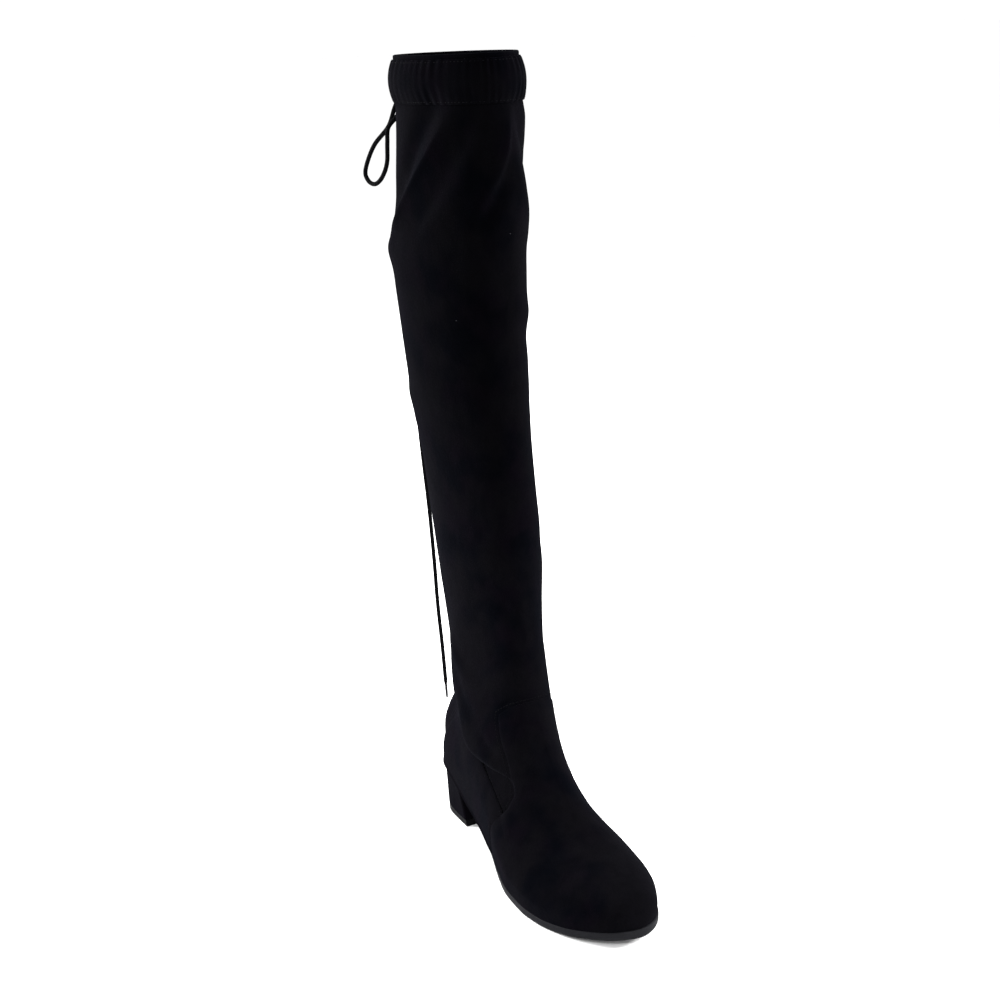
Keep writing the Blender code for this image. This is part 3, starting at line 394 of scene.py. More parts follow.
# Soft ridges and troughs of the shaft and vamp: height and half width in millimetres, and the points
# that each runs through, in millimetres
CREASE_COLUMNS = ("height", "width", "points")
CREASES = (
    (2.4, 8, ((-24, 92, 502), (-29, 80, 484), (-36, 54, 455), (-38, 28, 430), (-36, 8, 414))),
    (1.3, 2.6, ((-27, 82, 489), (-32, 68, 470), (-36, 54, 455), (-38, 28, 430), (-37, 14, 419))),
    (-3.4, 10, ((-26, 84, 512), (-33, 60, 486), (-37, 38, 458), (-36, 10, 440))),
    (-1.8, 9, ((-14, 104, 500), (-24, 88, 470), (-33, 68, 440), (-37, 48, 424))),
    (1.8, 7, ((4, 106, 496), (0, 107, 478), (-7, 105, 460), (-13, 101, 446), (-20, 94, 436))),
    (1.0, 2.4, ((5, 105, 490), (2, 106, 474), (-3, 106, 462), (-10, 104, 449))),
    (1.5, 12, ((-16, 102, 478), (-24, 91, 452), (-31, 76, 436), (-35, 58, 420))),
    (-2.2, 6, ((1, 107, 458), (-5, 106, 447), (-10, 103, 438), (-17, 98, 428))),
    (-1.1, 11, ((-20, 96, 416), (-30, 78, 404), (-36, 52, 400), (-37, 30, 398))),
    (0.9, 10, ((-8, 105, 402), (-22, 94, 392), (-33, 66, 386))),
    (-0.7, 12, ((-30, 20, 350), (-34, 50, 345), (-30, 78, 348))),
    (0.6, 12, ((-12, 100, 330), (-26, 84, 318), (-33, 56, 312))),
    (-0.6, 10, ((-28, 76, 282), (-31, 54, 270), (-28, 34, 262))),
    (0.7, 9, ((-27, 22, 318), (-24, 14, 304), (-20, 12, 290))),
    (-0.7, 8, ((-14, 98, 236), (-24, 82, 226), (-30, 60, 222))),
    (0.6, 10, ((-28, 70, 200), (-30, 50, 190), (-26, 32, 184))),
    (-0.8, 5, ((-16, 101, 190), (-9, 105, 171), (-6, 108, 152))),
    (0.9, 7, ((-27, 44, 150), (-29, 58, 132), (-28, 74, 118))),
    (-0.9, 6, ((-28, 52, 122), (-29, 66, 106), (-28, 82, 96))),
    (-0.7, 2.4, ((-19, 101.5, 112), (-14, 106, 116.5), (-7.5, 110.5, 121))),
    (-1.1, 4, ((-27, 88, 88), (-26, 96, 83), (-24, 106, 80))),
    (0.9, 5, ((-27, 88, 79), (-26, 98, 75), (-24, 108, 72))),
    (2.4, 8, ((22, 96, 506), (30, 78, 484), (35, 56, 458), (36, 36, 438))),
    (-2.2, 8, ((12, 106, 500), (26, 90, 466), (34, 70, 442), (36, 48, 424))),
    (1.8, 9, ((8, 108, 470), (22, 98, 444), (32, 80, 424), (35, 60, 410))),
    (-1.6, 8, ((30, 18, 452), (34, 38, 428), (33, 60, 396))),
    (1.2, 9, ((28, 10, 410), (33, 34, 396), (32, 58, 384))),
    (-0.8, 11, ((10, 104, 372), (24, 88, 356), (31, 62, 350))),
    (0.7, 11, ((26, 74, 300), (30, 52, 286), (26, 26, 280))),
    (-0.7, 9, ((14, 98, 226), (24, 80, 214), (28, 58, 210))),
    (1.0, 7, ((27, 44, 146), (29, 60, 128), (27, 78, 112))),
    (-1.0, 6, ((28, 50, 120), (29, 64, 104), (27, 84, 92))),
    (0.9, 6, ((26, 92, 92), (24, 102, 84), (20, 110, 78))),
    (-1.2, 7, ((-16, 4, 300), (0, -2, 296), (16, 4, 300))),
    (1.0, 8, ((-14, 16, 232), (0, 14, 226), (14, 16, 232))),
    (-1.4, 6, ((-14, 24, 142), (0, 16, 136), (14, 24, 142))),
    (1.4, 6, ((-14, 18, 126), (0, 9, 120), (14, 18, 126))),
    (-1.0, 5, ((-12, 10, 112), (0, 2, 108), (12, 10, 112))),
)
VAMP_CREASES = (
    (-0.55, 5, ((-24, 172, 34), (-16, 176, 44), (-4, 178, 50))),
    (0.45, 5, ((-24, 180, 31), (-15, 184, 39), (-4, 186, 44))),
    (-0.40, 4, ((-20, 193, 33), (-12, 196, 37), (-2, 198, 39))),
    (-0.45, 5, ((20, 158, 42), (14, 164, 50), (6, 168, 54))),
    (0.40, 5, ((19, 168, 38), (13, 173, 44), (5, 176, 48))),
    (-0.30, 5, ((16, 186, 34), (9, 190, 38), (2, 192, 40))),
    (-0.8, 6, ((-16, 118, 84), (-8, 124, 86), (4, 126, 86))),
    (0.6, 7, ((-20, 124, 74), (-10, 130, 76), (4, 132, 76))),
    (-0.5, 6, ((-26, 130, 60), (-18, 140, 64), (-6, 146, 66))),
)


def step_lengths(points):
    """Length of each step from one point to the next."""
    return np.linalg.norm(np.diff(points, axis=0), axis=1)


def lengths_along(points):
    """Length along a line of points, from the first to each."""
    return np.concatenate(([0], np.cumsum(step_lengths(points))))


def at_lengths(rows, at):
    """Rows at lengths along a line, whose points are in the first three columns."""
    lengths = lengths_along(rows[:, :3])
    return np.stack([np.interp(at, lengths, column) for column in rows.T], -1)


def curve_through(points, steps):
    """A smooth curve through points, with a number of steps from each to the next."""
    points = np.asarray(points, float)
    padded = np.vstack((2 * points[:1] - points[1:2], points, 2 * points[-1:] - points[-2:-1]))
    u = (np.arange(steps) / steps)[:, None]
    spans = [0.5 * (2 * b + (c - a) * u + (2 * a - 5 * b + 4 * c - d) * u * u
                    + (3 * b - a - 3 * c + d) * u ** 3)
             for a, b, c, d in zip(padded, padded[1:], padded[2:], padded[3:])]
    return np.vstack(spans + [points[-1:]])


def polyline_distance(points, path):
    """Distance of points to a line through a path, and how far along it the nearest place is."""
    points = np.asarray(points, float)
    best = np.full(points.shape[:-1], 1e9)
    along = np.zeros(points.shape[:-1])
    path = np.asarray(path, float)
    path = path[np.concatenate(([True], step_lengths(path) > 0))]
    lengths = step_lengths(path)
    total = lengths.sum()
    passed = 0.0
    for start, end, length in zip(path, path[1:], lengths):
        line = (end - start) / length
        place = np.clip((points - start) @ line, 0, length)
        distance = np.linalg.norm(points - (start + place[..., None] * line), axis=-1)
        nearer = distance < best
        best = np.where(nearer, distance, best)
        along = np.where(nearer, (passed + place) / total, along)
        passed += length
    return best, along


def crease_swell(points, creases):
    """Sum of the soft ridges and troughs at each point."""
    total = np.zeros(points.shape[:-1])
    for row in named_rows(CREASE_COLUMNS, creases):
        distance, along = polyline_distance(points, np.array(row["points"]) * MM)
        ends = np.minimum(np.minimum(along, 1 - along) * 4 + 0.25, 1.0)
        total += row["height"] * MM * ends * np.exp(-1.4 * (distance / (row["width"] * MM)) ** 2)
    return total


def curve_points(points, count):
    """A count of points evenly along a smooth curve through a few."""
    lengths = lengths_along(points)
    at = np.linspace(0, lengths[-1], count)
    return np.stack([smooth(lengths, column, at) for column in points.T], -1)


def slouch(points, out):
    """Moves the shaft's points into the fold that hangs over the counter on the lateral side."""
    edge = curve_points(np.array(SLOUCH_EDGE) * (SOLE_LENGTH, INSTEP_HEIGHT), 160)
    side = points[..., 1:]
    distance, along = polyline_distance(side, edge)
    tangent = unit(np.gradient(edge, axis=0))
    index = np.clip((along * (len(edge) - 1)).round().astype(int), 0, len(edge) - 1)
    upward = np.stack((-tangent[index][..., 1], tangent[index][..., 0]), -1)
    away = side - edge[index]
    above = np.where((away * upward).sum(-1) >= 0, distance, -distance) / MM
    profile = named_columns(SLOUCH_COLUMNS, SLOUCH_PROFILE)
    inside = (distance < SLOUCH_REACH) & (points[..., 0] < 0)
    share = np.clip(-points[..., 0] / (0.10 * BALL_WIDTH), 0, 1) * inside
    share = share * smooth(*SLOUCH_ENDS, along)
    slide = smooth(profile["above"], profile["slide"], above) * MM * share
    stand = smooth(profile["above"], profile["stand"], above) * MM * share
    moved = points + out * stand[..., None]
    moved[..., 1:] -= upward * slide[..., None]
    return moved


# Helpers that make objects

def placed(name, data):
    """A new object in the scene."""
    obj = bpy.data.objects.new(name, data)
    bpy.context.scene.collection.objects.link(obj)
    return obj


def linked_object(name, bm, sharp=None):
    """An object in the scene, smooth but for edges past an angle in degrees where one is given."""
    bmesh.ops.recalc_face_normals(bm, faces=bm.faces)
    mesh = bpy.data.meshes.new(name)
    bm.to_mesh(mesh)
    bm.free()
    mesh.shade_smooth()
    if sharp:
        mesh.set_sharp_from_angle(angle=math.radians(sharp))
    return placed(name, mesh)


def mesh_object(name, verts, faces, sharp=None):
    """A smooth shaded mesh from points of the boot and faces."""
    bm = bmesh.new()
    made = [bm.verts.new(world(point)) for point in verts]
    for face in faces:
        bm.faces.new([made[i] for i in face])
    bmesh.ops.remove_doubles(bm, verts=bm.verts, dist=0.00002)
    return linked_object(name, bm, sharp)


def grid_faces(rows, columns, offset=0, closed=False):
    """Faces of a grid of points stored row by row; closed joins the last column to the first."""
    faces = []
    for i in range(rows - 1):
        for j in range(columns if closed else columns - 1):
            k = (j + 1) % columns
            faces.append((offset + i * columns + j, offset + i * columns + k,
                          offset + (i + 1) * columns + k, offset + (i + 1) * columns + j))
    return faces


def paint(obj, look):
    """Gives an object its one material."""
    obj.data.materials.clear()
    obj.data.materials.append(look)
    return obj


def show(obj, look, slot, *nodes):
    """Gives a piece its material, hides the nodes that it stands for, and lets it ride on the boot; the slot
    is not used.
    """
    paint(obj, look)
    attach(obj, "root")
    if nodes:
        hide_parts(*nodes)
    return obj


def spread(*parts):
    """Joins evenly spaced stretches, each a start, an end and a count, into one row of places."""
    rows = [np.linspace(start, end, count, endpoint=False) for start, end, count in parts]
    return np.concatenate(rows + [[parts[-1][1]]])


# Camera, floor and light

CAMERA_PLACE = (-0.4175, 0.9017, 0.5476)      # medial, forward and up from the boot's own origin
CAMERA_AIM = (0.006, 0.066, 0.2435)
CAMERA_ROLL = -0.052
LENS = 53.0
SENSOR = 36.0


def build_camera():
    """Camera at the photograph's place, turned to the one boot and rolled so that it keeps its lean."""
    data = bpy.data.cameras.new("camera")
    data.lens = LENS
    data.sensor_width = SENSOR
    camera = placed("camera", data)
    place = world(CAMERA_PLACE)
    forward = (world(CAMERA_AIM) - place).normalized()
    right = forward.cross(Vector((0, 0, 1))).normalized()
    up = right.cross(forward)
    rolled_right = right * math.cos(CAMERA_ROLL) + up * math.sin(CAMERA_ROLL)
    rolled_up = up * math.cos(CAMERA_ROLL) - right * math.sin(CAMERA_ROLL)
    axes = Matrix((rolled_right, rolled_up, -forward)).transposed()
    camera.matrix_world = Matrix.Translation(place) @ axes.to_4x4()
    bpy.context.scene.camera = camera


FLOOR_SIZE = 60.0
FLOOR_COLOUR = (0.95, 0.95, 0.95)
FLOOR_ROUGHNESS = 0.8
SKY_STRENGTH = 1.06
LIGHT_COLUMNS = ("name", "place", "aim", "size", "power")
LIGHTS = (
    ("left_light", (-1.30, -1.10, 0.70), (0, 0.05, 0.20), 0.6, 82.0),
    ("front_light", (-1.10, 1.50, 1.90), (0, 0.08, 0.20), 0.6, 26.0),
    ("right_light", (1.60, 0.90, 1.00), (0, 0.05, 0.25), 0.7, 84.0),
    ("back_light", (0.60, -1.60, 1.10), (0, 0.00, 0.30), 1.0, 30.0),
)


def build_studio():
    """Pale floor, pale surroundings and large soft lights."""
    mesh = bpy.data.meshes.new("floor")
    half = FLOOR_SIZE / 2
    corners = [(-half, -half, 0), (half, -half, 0), (half, half, 0), (-half, half, 0)]
    mesh.from_pydata(corners, [], [(0, 1, 2, 3)])
    floor = placed("floor", mesh)
    floor.location = (0, 0, ORIGIN.z)
    floor.data.materials.append(Nodes("floor_paint").finish((*FLOOR_COLOUR, 1), FLOOR_ROUGHNESS))
    sky = bpy.data.worlds.new("studio")
    sky.use_nodes = True
    background = sky.node_tree.nodes["Background"]
    background.inputs["Color"].default_value = (1, 1, 1, 1)
    background.inputs["Strength"].default_value = SKY_STRENGTH
    bpy.context.scene.world = sky
    bpy.context.scene.view_settings.view_transform = "Standard"
    for row in named_rows(LIGHT_COLUMNS, LIGHTS):
        data = bpy.data.lights.new(row["name"], "AREA")
        data.shape = "DISK"
        data.size = row["size"]
        data.energy = row["power"]
        light = placed(row["name"], data)
        light.location = world(row["place"])
        aim = world(row["aim"]) - light.location
        light.rotation_euler = aim.to_track_quat("-Z", "Y").to_euler()


# Materials

class Nodes:
    """A short way to write a material's nodes."""

    def __init__(self, name):
        self.material = bpy.data.materials.new(name)
        self.material.use_nodes = True
        self.tree = self.material.node_tree
        self.shader = self.tree.nodes["Principled BSDF"]

    def add(self, kind, settings=None, **inputs):
        """A node with its settings and its inputs, which are values or other nodes' outputs."""
        node = self.tree.nodes.new(kind)
        for key, value in (settings or {}).items():
            setattr(node, key, value)
        for key, value in inputs.items():
            self.put(node.inputs[key.replace("_", " ")], value)
        return node

    def put(self, socket, value):
        """Links another node's output to a socket, or sets its value."""
        if isinstance(value, bpy.types.NodeSocket):
            self.tree.links.new(value, socket)
        else:
            socket.default_value = value

    def math(self, operation, first, second=0.0):
        """One step of arithmetic."""
        node = self.tree.nodes.new("ShaderNodeMath")
        node.operation = operation
        self.put(node.inputs[0], first)
        self.put(node.inputs[1], second)
        return node.outputs[0]

    def mix(self, factor, first, second, blend="MIX"):
        """Mix of two colours."""
        node = self.add("ShaderNodeMix", {"data_type": "RGBA", "blend_type": blend})
        self.put(node.inputs[0], factor)
        self.put(node.inputs[6], first if isinstance(first, bpy.types.NodeSocket) else (*first, 1))
        self.put(node.inputs[7], second if isinstance(second, bpy.types.NodeSocket) else (*second, 1))
        return node.outputs[2]

    def ramp(self, value, low, high):
        """A value stretched from between low and high to between 0 and 1, softly."""
        node = self.tree.nodes.new("ShaderNodeMapRange")
        node.interpolation_type = "SMOOTHSTEP"
        self.put(node.inputs["Value"], value)
        node.inputs["From Min"].default_value = low
        node.inputs["From Max"].default_value = high
        return node.outputs["Result"]

    def noise(self, scale, detail=2.0, stretch=(1, 1, 1), roughness=0.5):
        """A noise of a scale in lumps per metre, stretched along the axes."""
        place = self.add("ShaderNodeTexCoord").outputs["Object"]
        mapping = self.add("ShaderNodeMapping", None, Vector=place, Scale=stretch)
        node = self.add("ShaderNodeTexNoise", None, Vector=mapping.outputs[0], Scale=scale, Detail=detail,
                        Roughness=roughness)
        return node.outputs["Fac"]

    def bump(self, height, depth, strength=1.0, under=None):
        """A bump of a depth in metres, over another one."""
        node = self.add("ShaderNodeBump", None, Height=height, Distance=depth, Strength=strength)
        if under:
            self.put(node.inputs["Normal"], under)
        return node.outputs[0]

    def finish(self, colour, roughness, normal=None, **constants):
        """Links what varies to the shader and sets its constants."""
        self.put(self.shader.inputs["Base Color"], colour)
        self.put(self.shader.inputs["Roughness"], roughness)
        if normal:
            self.put(self.shader.inputs["Normal"], normal)
        for key, value in constants.items():
            self.shader.inputs[key.replace("_", " ")].default_value = value
        return self.material


SUEDE_DARK = (0.0004, 0.0004, 0.0006)
SUEDE_BLUE = (0.0006, 0.0007, 0.0012)
SUEDE_VIOLET = (0.0013, 0.0010, 0.0017)
SUEDE_GREY = (0.0015, 0.0014, 0.0018)
SHAFT_PAINTED_SHADE = 0.75         # painted light and shade: the suede is darker up the shaft than on the foot, where the light falls more
FOOT_PAINTED_LIGHT = 1.35
PAINTED_LIGHT_HEIGHTS = (0.14, 0.34)
DUST_COLOUR = (0.05, 0.05, 0.055)
DUST_SPACING = 0.030
DUST_SIZE = 0.00022
SHEEN_TINT = (0.80, 0.80, 1.0)
SHEEN = 0.012

# Patterns in the suede: lumps per metre, detail, stretch along the axes, and roughness of the finest
CLOUDS = (30, 3.0, (1, 1, 0.9))
HUES = (44, 2.0, (0.9, 1.1, 0.8))
STREAKS = (150, 3.0, (1, 1, 0.5))
PILE = (520, 3.0, (1, 1, 0.7), 0.6)
FIBRES = (2300, 4.0, (1, 1, 0.55), 0.62)
STREAK_SHARE = 0.22       # how much streaks and fibres darken the nap
FIBRE_SHARE = 0.40
PILE_DEPTH = 0.00030
FIBRE_DEPTH = 0.00022


def suede_colour(nodes, fibres, light):
    """Cloudy nap in blue, violet and grey, with painted shade up the shaft and painted light on the foot, and
    a few dust specks.
    """
    hue = nodes.ramp(nodes.noise(*HUES), 0.40, 0.62)
    clouds = nodes.ramp(nodes.noise(*CLOUDS), 0.36, 0.64)
    streaks = nodes.ramp(nodes.noise(*STREAKS), 0.42, 0.70)
    colour = nodes.mix(hue, SUEDE_BLUE, SUEDE_VIOLET)
    colour = nodes.mix(clouds, colour, SUEDE_GREY)
    for pattern, share in ((streaks, STREAK_SHARE), (nodes.ramp(fibres, 0.35, 0.75), FIBRE_SHARE)):
        colour = nodes.mix(nodes.math("MULTIPLY", pattern, share), colour, SUEDE_DARK)
    place = nodes.add("ShaderNodeTexCoord").outputs["Object"]
    # Painted light and shade by height: the colour is lightened on the foot and darkened up the shaft.
    height = nodes.add("ShaderNodeSeparateXYZ", None, Vector=place).outputs[2]
    painted_light = nodes.mix(nodes.ramp(height, *PAINTED_LIGHT_HEIGHTS), (FOOT_PAINTED_LIGHT * light,) * 3, (SHAFT_PAINTED_SHADE * light,) * 3)
    colour = nodes.mix(1.0, colour, painted_light, "MULTIPLY")
    specks = nodes.add("ShaderNodeTexVoronoi", None, Vector=place, Scale=1 / DUST_SPACING)
    near = nodes.math("LESS_THAN", specks.outputs["Distance"], DUST_SIZE / DUST_SPACING)
    return nodes.mix(near, colour, DUST_COLOUR)


def suede(name, light=1.0, nap=1.0):
    """Black suede: cloudy nap with fine fibres and a soft sheen."""
    nodes = Nodes(name)
    fibres = nodes.noise(*FIBRES)
    normal = nodes.bump(nodes.noise(*PILE), PILE_DEPTH * nap, 0.55)
    normal = nodes.bump(fibres, FIBRE_DEPTH * nap, 0.75, normal)
    return nodes.finish(suede_colour(nodes, fibres, light), 0.93, normal, Specular_IOR_Level=0.0,
                        Sheen_Weight=SHEEN, Sheen_Roughness=0.42, Sheen_Tint=(*SHEEN_TINT, 1))


RUBBER_SCUFFS = (240, 4.0, (1, 1, 3.0))
RUBBER_GRAIN = (2600, 3.0)
RUBBER_WORN = 1.8         # how much lighter a scuffed place is


def rubber(name, colour, roughness):
    """Dark moulded rubber with fine grain and scuffs."""
    nodes = Nodes(name)
    scuffs = nodes.ramp(nodes.noise(*RUBBER_SCUFFS), 0.52, 0.72)
    worn = tuple(value * RUBBER_WORN for value in colour)
    tone = nodes.mix(nodes.math("MULTIPLY", scuffs, 0.35), colour, worn)
    shine = nodes.math("ADD", nodes.math("MULTIPLY", scuffs, 0.2), roughness)
    normal = nodes.bump(nodes.noise(*RUBBER_GRAIN), 0.00006, 0.6)
    return nodes.finish(tone, shine, normal, Specular_IOR_Level=0.02)


def woven(name, dark, light, thread):
    """A plain woven cloth of a thread's width."""
    nodes = Nodes(name)
    place = nodes.add("ShaderNodeTexCoord").outputs["Object"]
    waves = []
    for direction, turn in (("X", 0.5), ("Z", 0.5)):
        mapping = nodes.add("ShaderNodeMapping", None, Vector=place, Rotation=(0, 0, turn))
        wave = nodes.add("ShaderNodeTexWave", {"bands_direction": direction}, Vector=mapping.outputs[0],
                         Scale=0.05 / thread, Distortion=0.6)
        waves.append(wave.outputs["Fac"])
    weave = nodes.math("MULTIPLY", waves[0], waves[1])
    # Painted shade: the cloth is darker in the gaps between its threads, where the weave is low.
    colour = nodes.mix(weave, dark, light)
    return nodes.finish(colour, 0.85, nodes.bump(weave, 0.00012, 0.6), Specular_IOR_Level=0.2,
                        Sheen_Weight=0.15)


BRAID_TURNS = 3.0         # strands that cross round the cord
BRAID_PITCH = 0.0036
CORD_GROOVE_SHADE = (0.0004, 0.0004, 0.0006)
CORD_LIGHT = (0.0020, 0.0020, 0.0027)


def braid(name):
    """Braided cord: two sets of strands that cross, drawn from the tube's own coordinates."""
    nodes = Nodes(name)
    uv = nodes.add("ShaderNodeTexCoord").outputs["UV"]
    split = nodes.add("ShaderNodeSeparateXYZ", None, Vector=uv).outputs
    strands = []
    for sign in (1.0, -1.0):
        phase = nodes.math("ADD", nodes.math("MULTIPLY", split[0], 2 * math.pi * BRAID_TURNS),
                           nodes.math("MULTIPLY", split[1], sign * 2 * math.pi / BRAID_PITCH))
        strands.append(nodes.math("ABSOLUTE", nodes.math("SINE", phase)))
    height = nodes.math("MULTIPLY", strands[0], strands[1])
    fibres = nodes.noise(2500, 3.0)
    # Painted shade: the cord is darker in the grooves between its strands, where the braid is low.
    colour = nodes.mix(nodes.ramp(height, 0.0, 0.8), CORD_GROOVE_SHADE, CORD_LIGHT)
    normal = nodes.bump(height, 0.00040, 0.9)
    normal = nodes.bump(fibres, 0.00010, 0.6, normal)
    return nodes.finish(colour, 0.70, normal, Specular_IOR_Level=0.015, Sheen_Weight=0.010,
                        Sheen_Roughness=0.35)


METAL_COLOUR = (0.020, 0.020, 0.022)
THREAD_DARK = (0.0010, 0.0010, 0.0014)
THREAD_LIGHT = (0.0032, 0.0030, 0.0038)


def dark_metal(name):
    """Black coated metal with fine scratches."""
    nodes = Nodes(name)
    scratches = nodes.noise(900, 3.0, (3, 3, 0.2))
    roughness = nodes.math("ADD", nodes.math("MULTIPLY", scratches, 0.22), 0.22)
    normal = nodes.bump(scratches, 0.00003, 0.4)
    return nodes.finish((*METAL_COLOUR, 1), roughness, normal, Metallic=1.0)


def thread_look(name):
    """Sewing thread, a little lighter and smoother than the suede."""
    nodes = Nodes(name)
    twist = nodes.noise(5000, 2.0)
    colour = nodes.mix(nodes.ramp(twist, 0.3, 0.7), THREAD_DARK, THREAD_LIGHT)
    return nodes.finish(colour, 0.75, nodes.bump(twist, 0.00006, 0.6), Specular_IOR_Level=0.02)


# Cords

CORD_SIDES = 14
CORD_SPACING = 0.0010
ROUTE_STEPS = 40


def route_points(route, spacing):
    """Points a spacing apart on the smooth curve through a cord's own points, as in the solids."""
    dense = curve_through(route, ROUTE_STEPS)
    length = step_lengths(dense).sum()
    return at_lengths(dense, np.linspace(0, length, max(2, round(length / spacing)) + 1))


def tube_object(name, path, radii, sides=CORD_SIDES, caps=True):
    """A round tube along a path with a radius at each point, and coordinates for a braid."""
    path = np.asarray(path, float)
    tangents = unit(np.gradient(path, axis=0))
    side = unit(np.cross(tangents[0], (0.3, 0.2, 0.93)))
    lengths = lengths_along(path)
    bm = bmesh.new()
    layer = bm.loops.layers.uv.new("UVMap")
    rings = []
    for point, tangent, radius in zip(path, tangents, np.broadcast_to(radii, len(path))):
        side = unit(side - tangent * (side @ tangent))
        other = np.cross(tangent, side)
        angles = np.arange(sides) / sides * 2 * math.pi
        ring = point + radius * (np.cos(angles)[:, None] * side + np.sin(angles)[:, None] * other)
        rings.append([bm.verts.new(world(place)) for place in ring])
    for i, (first, second) in enumerate(zip(rings, rings[1:])):
        for j in range(sides):
            k = (j + 1) % sides
            face = bm.faces.new((first[j], first[k], second[k], second[j]))
            for loop, u, v in zip(face.loops, (j, j + 1, j + 1, j), (i, i, i + 1, i + 1)):
                loop[layer].uv = (u / sides, lengths[v])
    if caps:
        bm.faces.new(rings[0])
        bm.faces.new(rings[-1])
    return linked_object(name, bm, 60)


KNOT_RADIUS = 0.00255
KNOT_TUBE = 0.00140
KNOT_STRETCH = (1.15, 1.0, 0.95)


def knot_path():
    """A tight trefoil that fills the knot's lump."""
    angles = np.linspace(0, 2 * math.pi, 121)
    ring = KNOT_RADIUS * (1.0 + 0.42 * np.cos(3 * angles))
    path = np.stack((ring * np.cos(2 * angles), KNOT_RADIUS * 0.72 * np.sin(3 * angles),
                     ring * np.sin(2 * angles)), -1)
    return path * KNOT_STRETCH + KNOT_PLACE


AGLET_SHAPE = ((0.00, 0.62), (0.01, 1.00), (0.10, 1.02), (0.13, 0.93), (0.17, 0.93), (0.20, 1.00),
               (0.60, 0.96), (0.90, 0.78), (0.97, 0.64), (1.00, 0.40))


def build_aglet(name, route, look):
    """Tapered metal end with a crimp, in line with the cord's end."""
    tip = np.array(route[-1])
    line = unit(tip - np.array(route[-2]))
    shares, radii = np.array(AGLET_SHAPE).T
    path = tip + line * GAP + line * AGLET_LENGTH * shares[:, None]
    obj = tube_object(name + "_metal", path, radii * AGLET_DIAMETER / 2, 20)
    return show(obj, look, "aglet_metal", name)


END_TAPER = (0.90, 0.74, 0.62)      # how a cord draws in where its aglet holds it


def build_cord(node, route, look, taper, **facts):
    """A free length of the drawcord in place of its solid; the facts are not used."""
    points = route_points(route, CORD_SPACING)
    radii = np.full(len(points), CORD_DIAMETER / 2)
    radii[len(points) - len(taper):] *= taper
    obj = show(tube_object(node + "_cord", points, radii), look, "cord_fabric", node)


def build_drawcord(cord_look, metal_look):
    """The bow at the back of the collar: knot, loops, hanging ends and aglets, each a free cord."""
    knot = show(tube_object("drawcord_knot_tied", knot_path(), KNOT_TUBE, 12, False), cord_look,
                "cord_fabric", "drawcord_knot")
    feeds = [node_look("drawcord_feed_" + side, cord_look) for side in ("lateral", "medial")]
    for side, route in (("lateral", END_LATERAL), ("medial", END_MEDIAL)):
        aglet = build_aglet("drawcord_aglet_" + side, route, metal_look)
        pieces = [aglet, knot] + feeds if side == "lateral" else [aglet]
        build_cord("drawcord_end_" + side, route, cord_look, END_TAPER, far_end="fitting", lay="hanging",
                   with_pieces=pieces)
    for side, route in (("lateral", LOOP_LATERAL), ("medial", LOOP_MEDIAL)):
        build_cord("drawcord_loop_" + side, route, cord_look, (), far_end="knot", lay="loose")


def node_look(name, look):
    """Gives a solid that stays its material."""
    return paint(frame["nodes"][name], look)


# Upper: outer suede, facing and lining

SPAN = BOOT_HEIGHT - SEAT_HEIGHT
UPPER_KEYS = ((0.0, 0.42, 24), (0.42, 0.50, 14), (0.50, 1.20, 190), (1.20, 2.0, 186))
UPPER_TURNS = ((0.0, 0.05, 14), (0.05, 0.37, 104), (0.37, 0.62, 38), (0.62, 0.95, 52), (0.95, 1.0, 14))
LINING_KEYS = ((0.02, 1.0, 60), (1.0, 1.95, 90))
LINING_TURNS = ((0.0, 1.0, 96),)
COLLAR_ROUND = 9          # steps over the collar's rounded rim
FACING_DEPTH = 0.022      # suede turned in at the collar


def creased_points(keys, turns, inward=0.0):
    """The upper's surface with its creases, moved inward by a depth, and the directions out of it."""
    points, out = formed_points(keys, turns)
    return points + out * (crease_swell(points, CREASES) - inward)[..., None], out


def shaft_surface(keys, turns):
    """The upper's finished outer surface: main folds, creases and the slouch over the counter."""
    points, out = creased_points(keys, turns)
    return slouch(points, out), out


def build_upper(look):
    """Suede shaft and foot, turned in over the collar's rim."""
    keys = spread(*UPPER_KEYS)
    turns = spread(*UPPER_TURNS)
    grid = np.meshgrid(keys, turns, indexing="ij")
    points, out = shaft_surface(*grid)
    rim = points[-1]
    rim_out = unit(out[-1] * (1, 1, 0))
    rows = list(points)
    for i in range(1, COLLAR_ROUND + 1):
        angle = math.pi * i / COLLAR_ROUND
        rows.append(rim - rim_out * (UPPER_WALL / 2 * (1 - math.cos(angle)))
                    + np.array((0, 0, UPPER_WALL / 2 * math.sin(angle))))
    for i in range(1, 7):
        rows.append(rows[len(points) + COLLAR_ROUND - 1] - np.array((0, 0, FACING_DEPTH * i / 6)))
    verts = np.array(rows).reshape(-1, 3)
    obj = mesh_object("upper_suede", verts, grid_faces(len(rows), len(turns)))
    return show(obj, look, "black_suede", "upper")


def build_lining(look):
    """Lining inside foot and shaft."""
    keys = spread(*LINING_KEYS)
    turns = spread(*LINING_TURNS)
    points, _ = creased_points(*np.meshgrid(keys, turns, indexing="ij"), UPPER_WALL)
    obj = mesh_object("upper_lining", points.reshape(-1, 3), grid_faces(len(keys), len(turns)))
    return show(obj, look, "insole_fabric")


# Overlays

EDGE_LIFT = 0.0007        # lift of an overlay at its seam
EDGE_FADE = 0.004         # how far from the seam the full lift is reached
EDGE_ROUND = 0.0007
SKIRT = 0.0022            # how deep an overlay's cut edge reaches in


def overlay_lift(points, edge):
    """Lift of an overlay: full in its field, less at its seam, with a rounded cut edge."""
    distance, _ = polyline_distance(points, edge)
    rise = 1 - np.exp(-distance / EDGE_FADE)
    corner = np.exp(-(distance / EDGE_ROUND) ** 2)
    return EDGE_LIFT + (OVERLAY_LIFT - EDGE_LIFT) * rise - 0.4 * EDGE_LIFT * corner


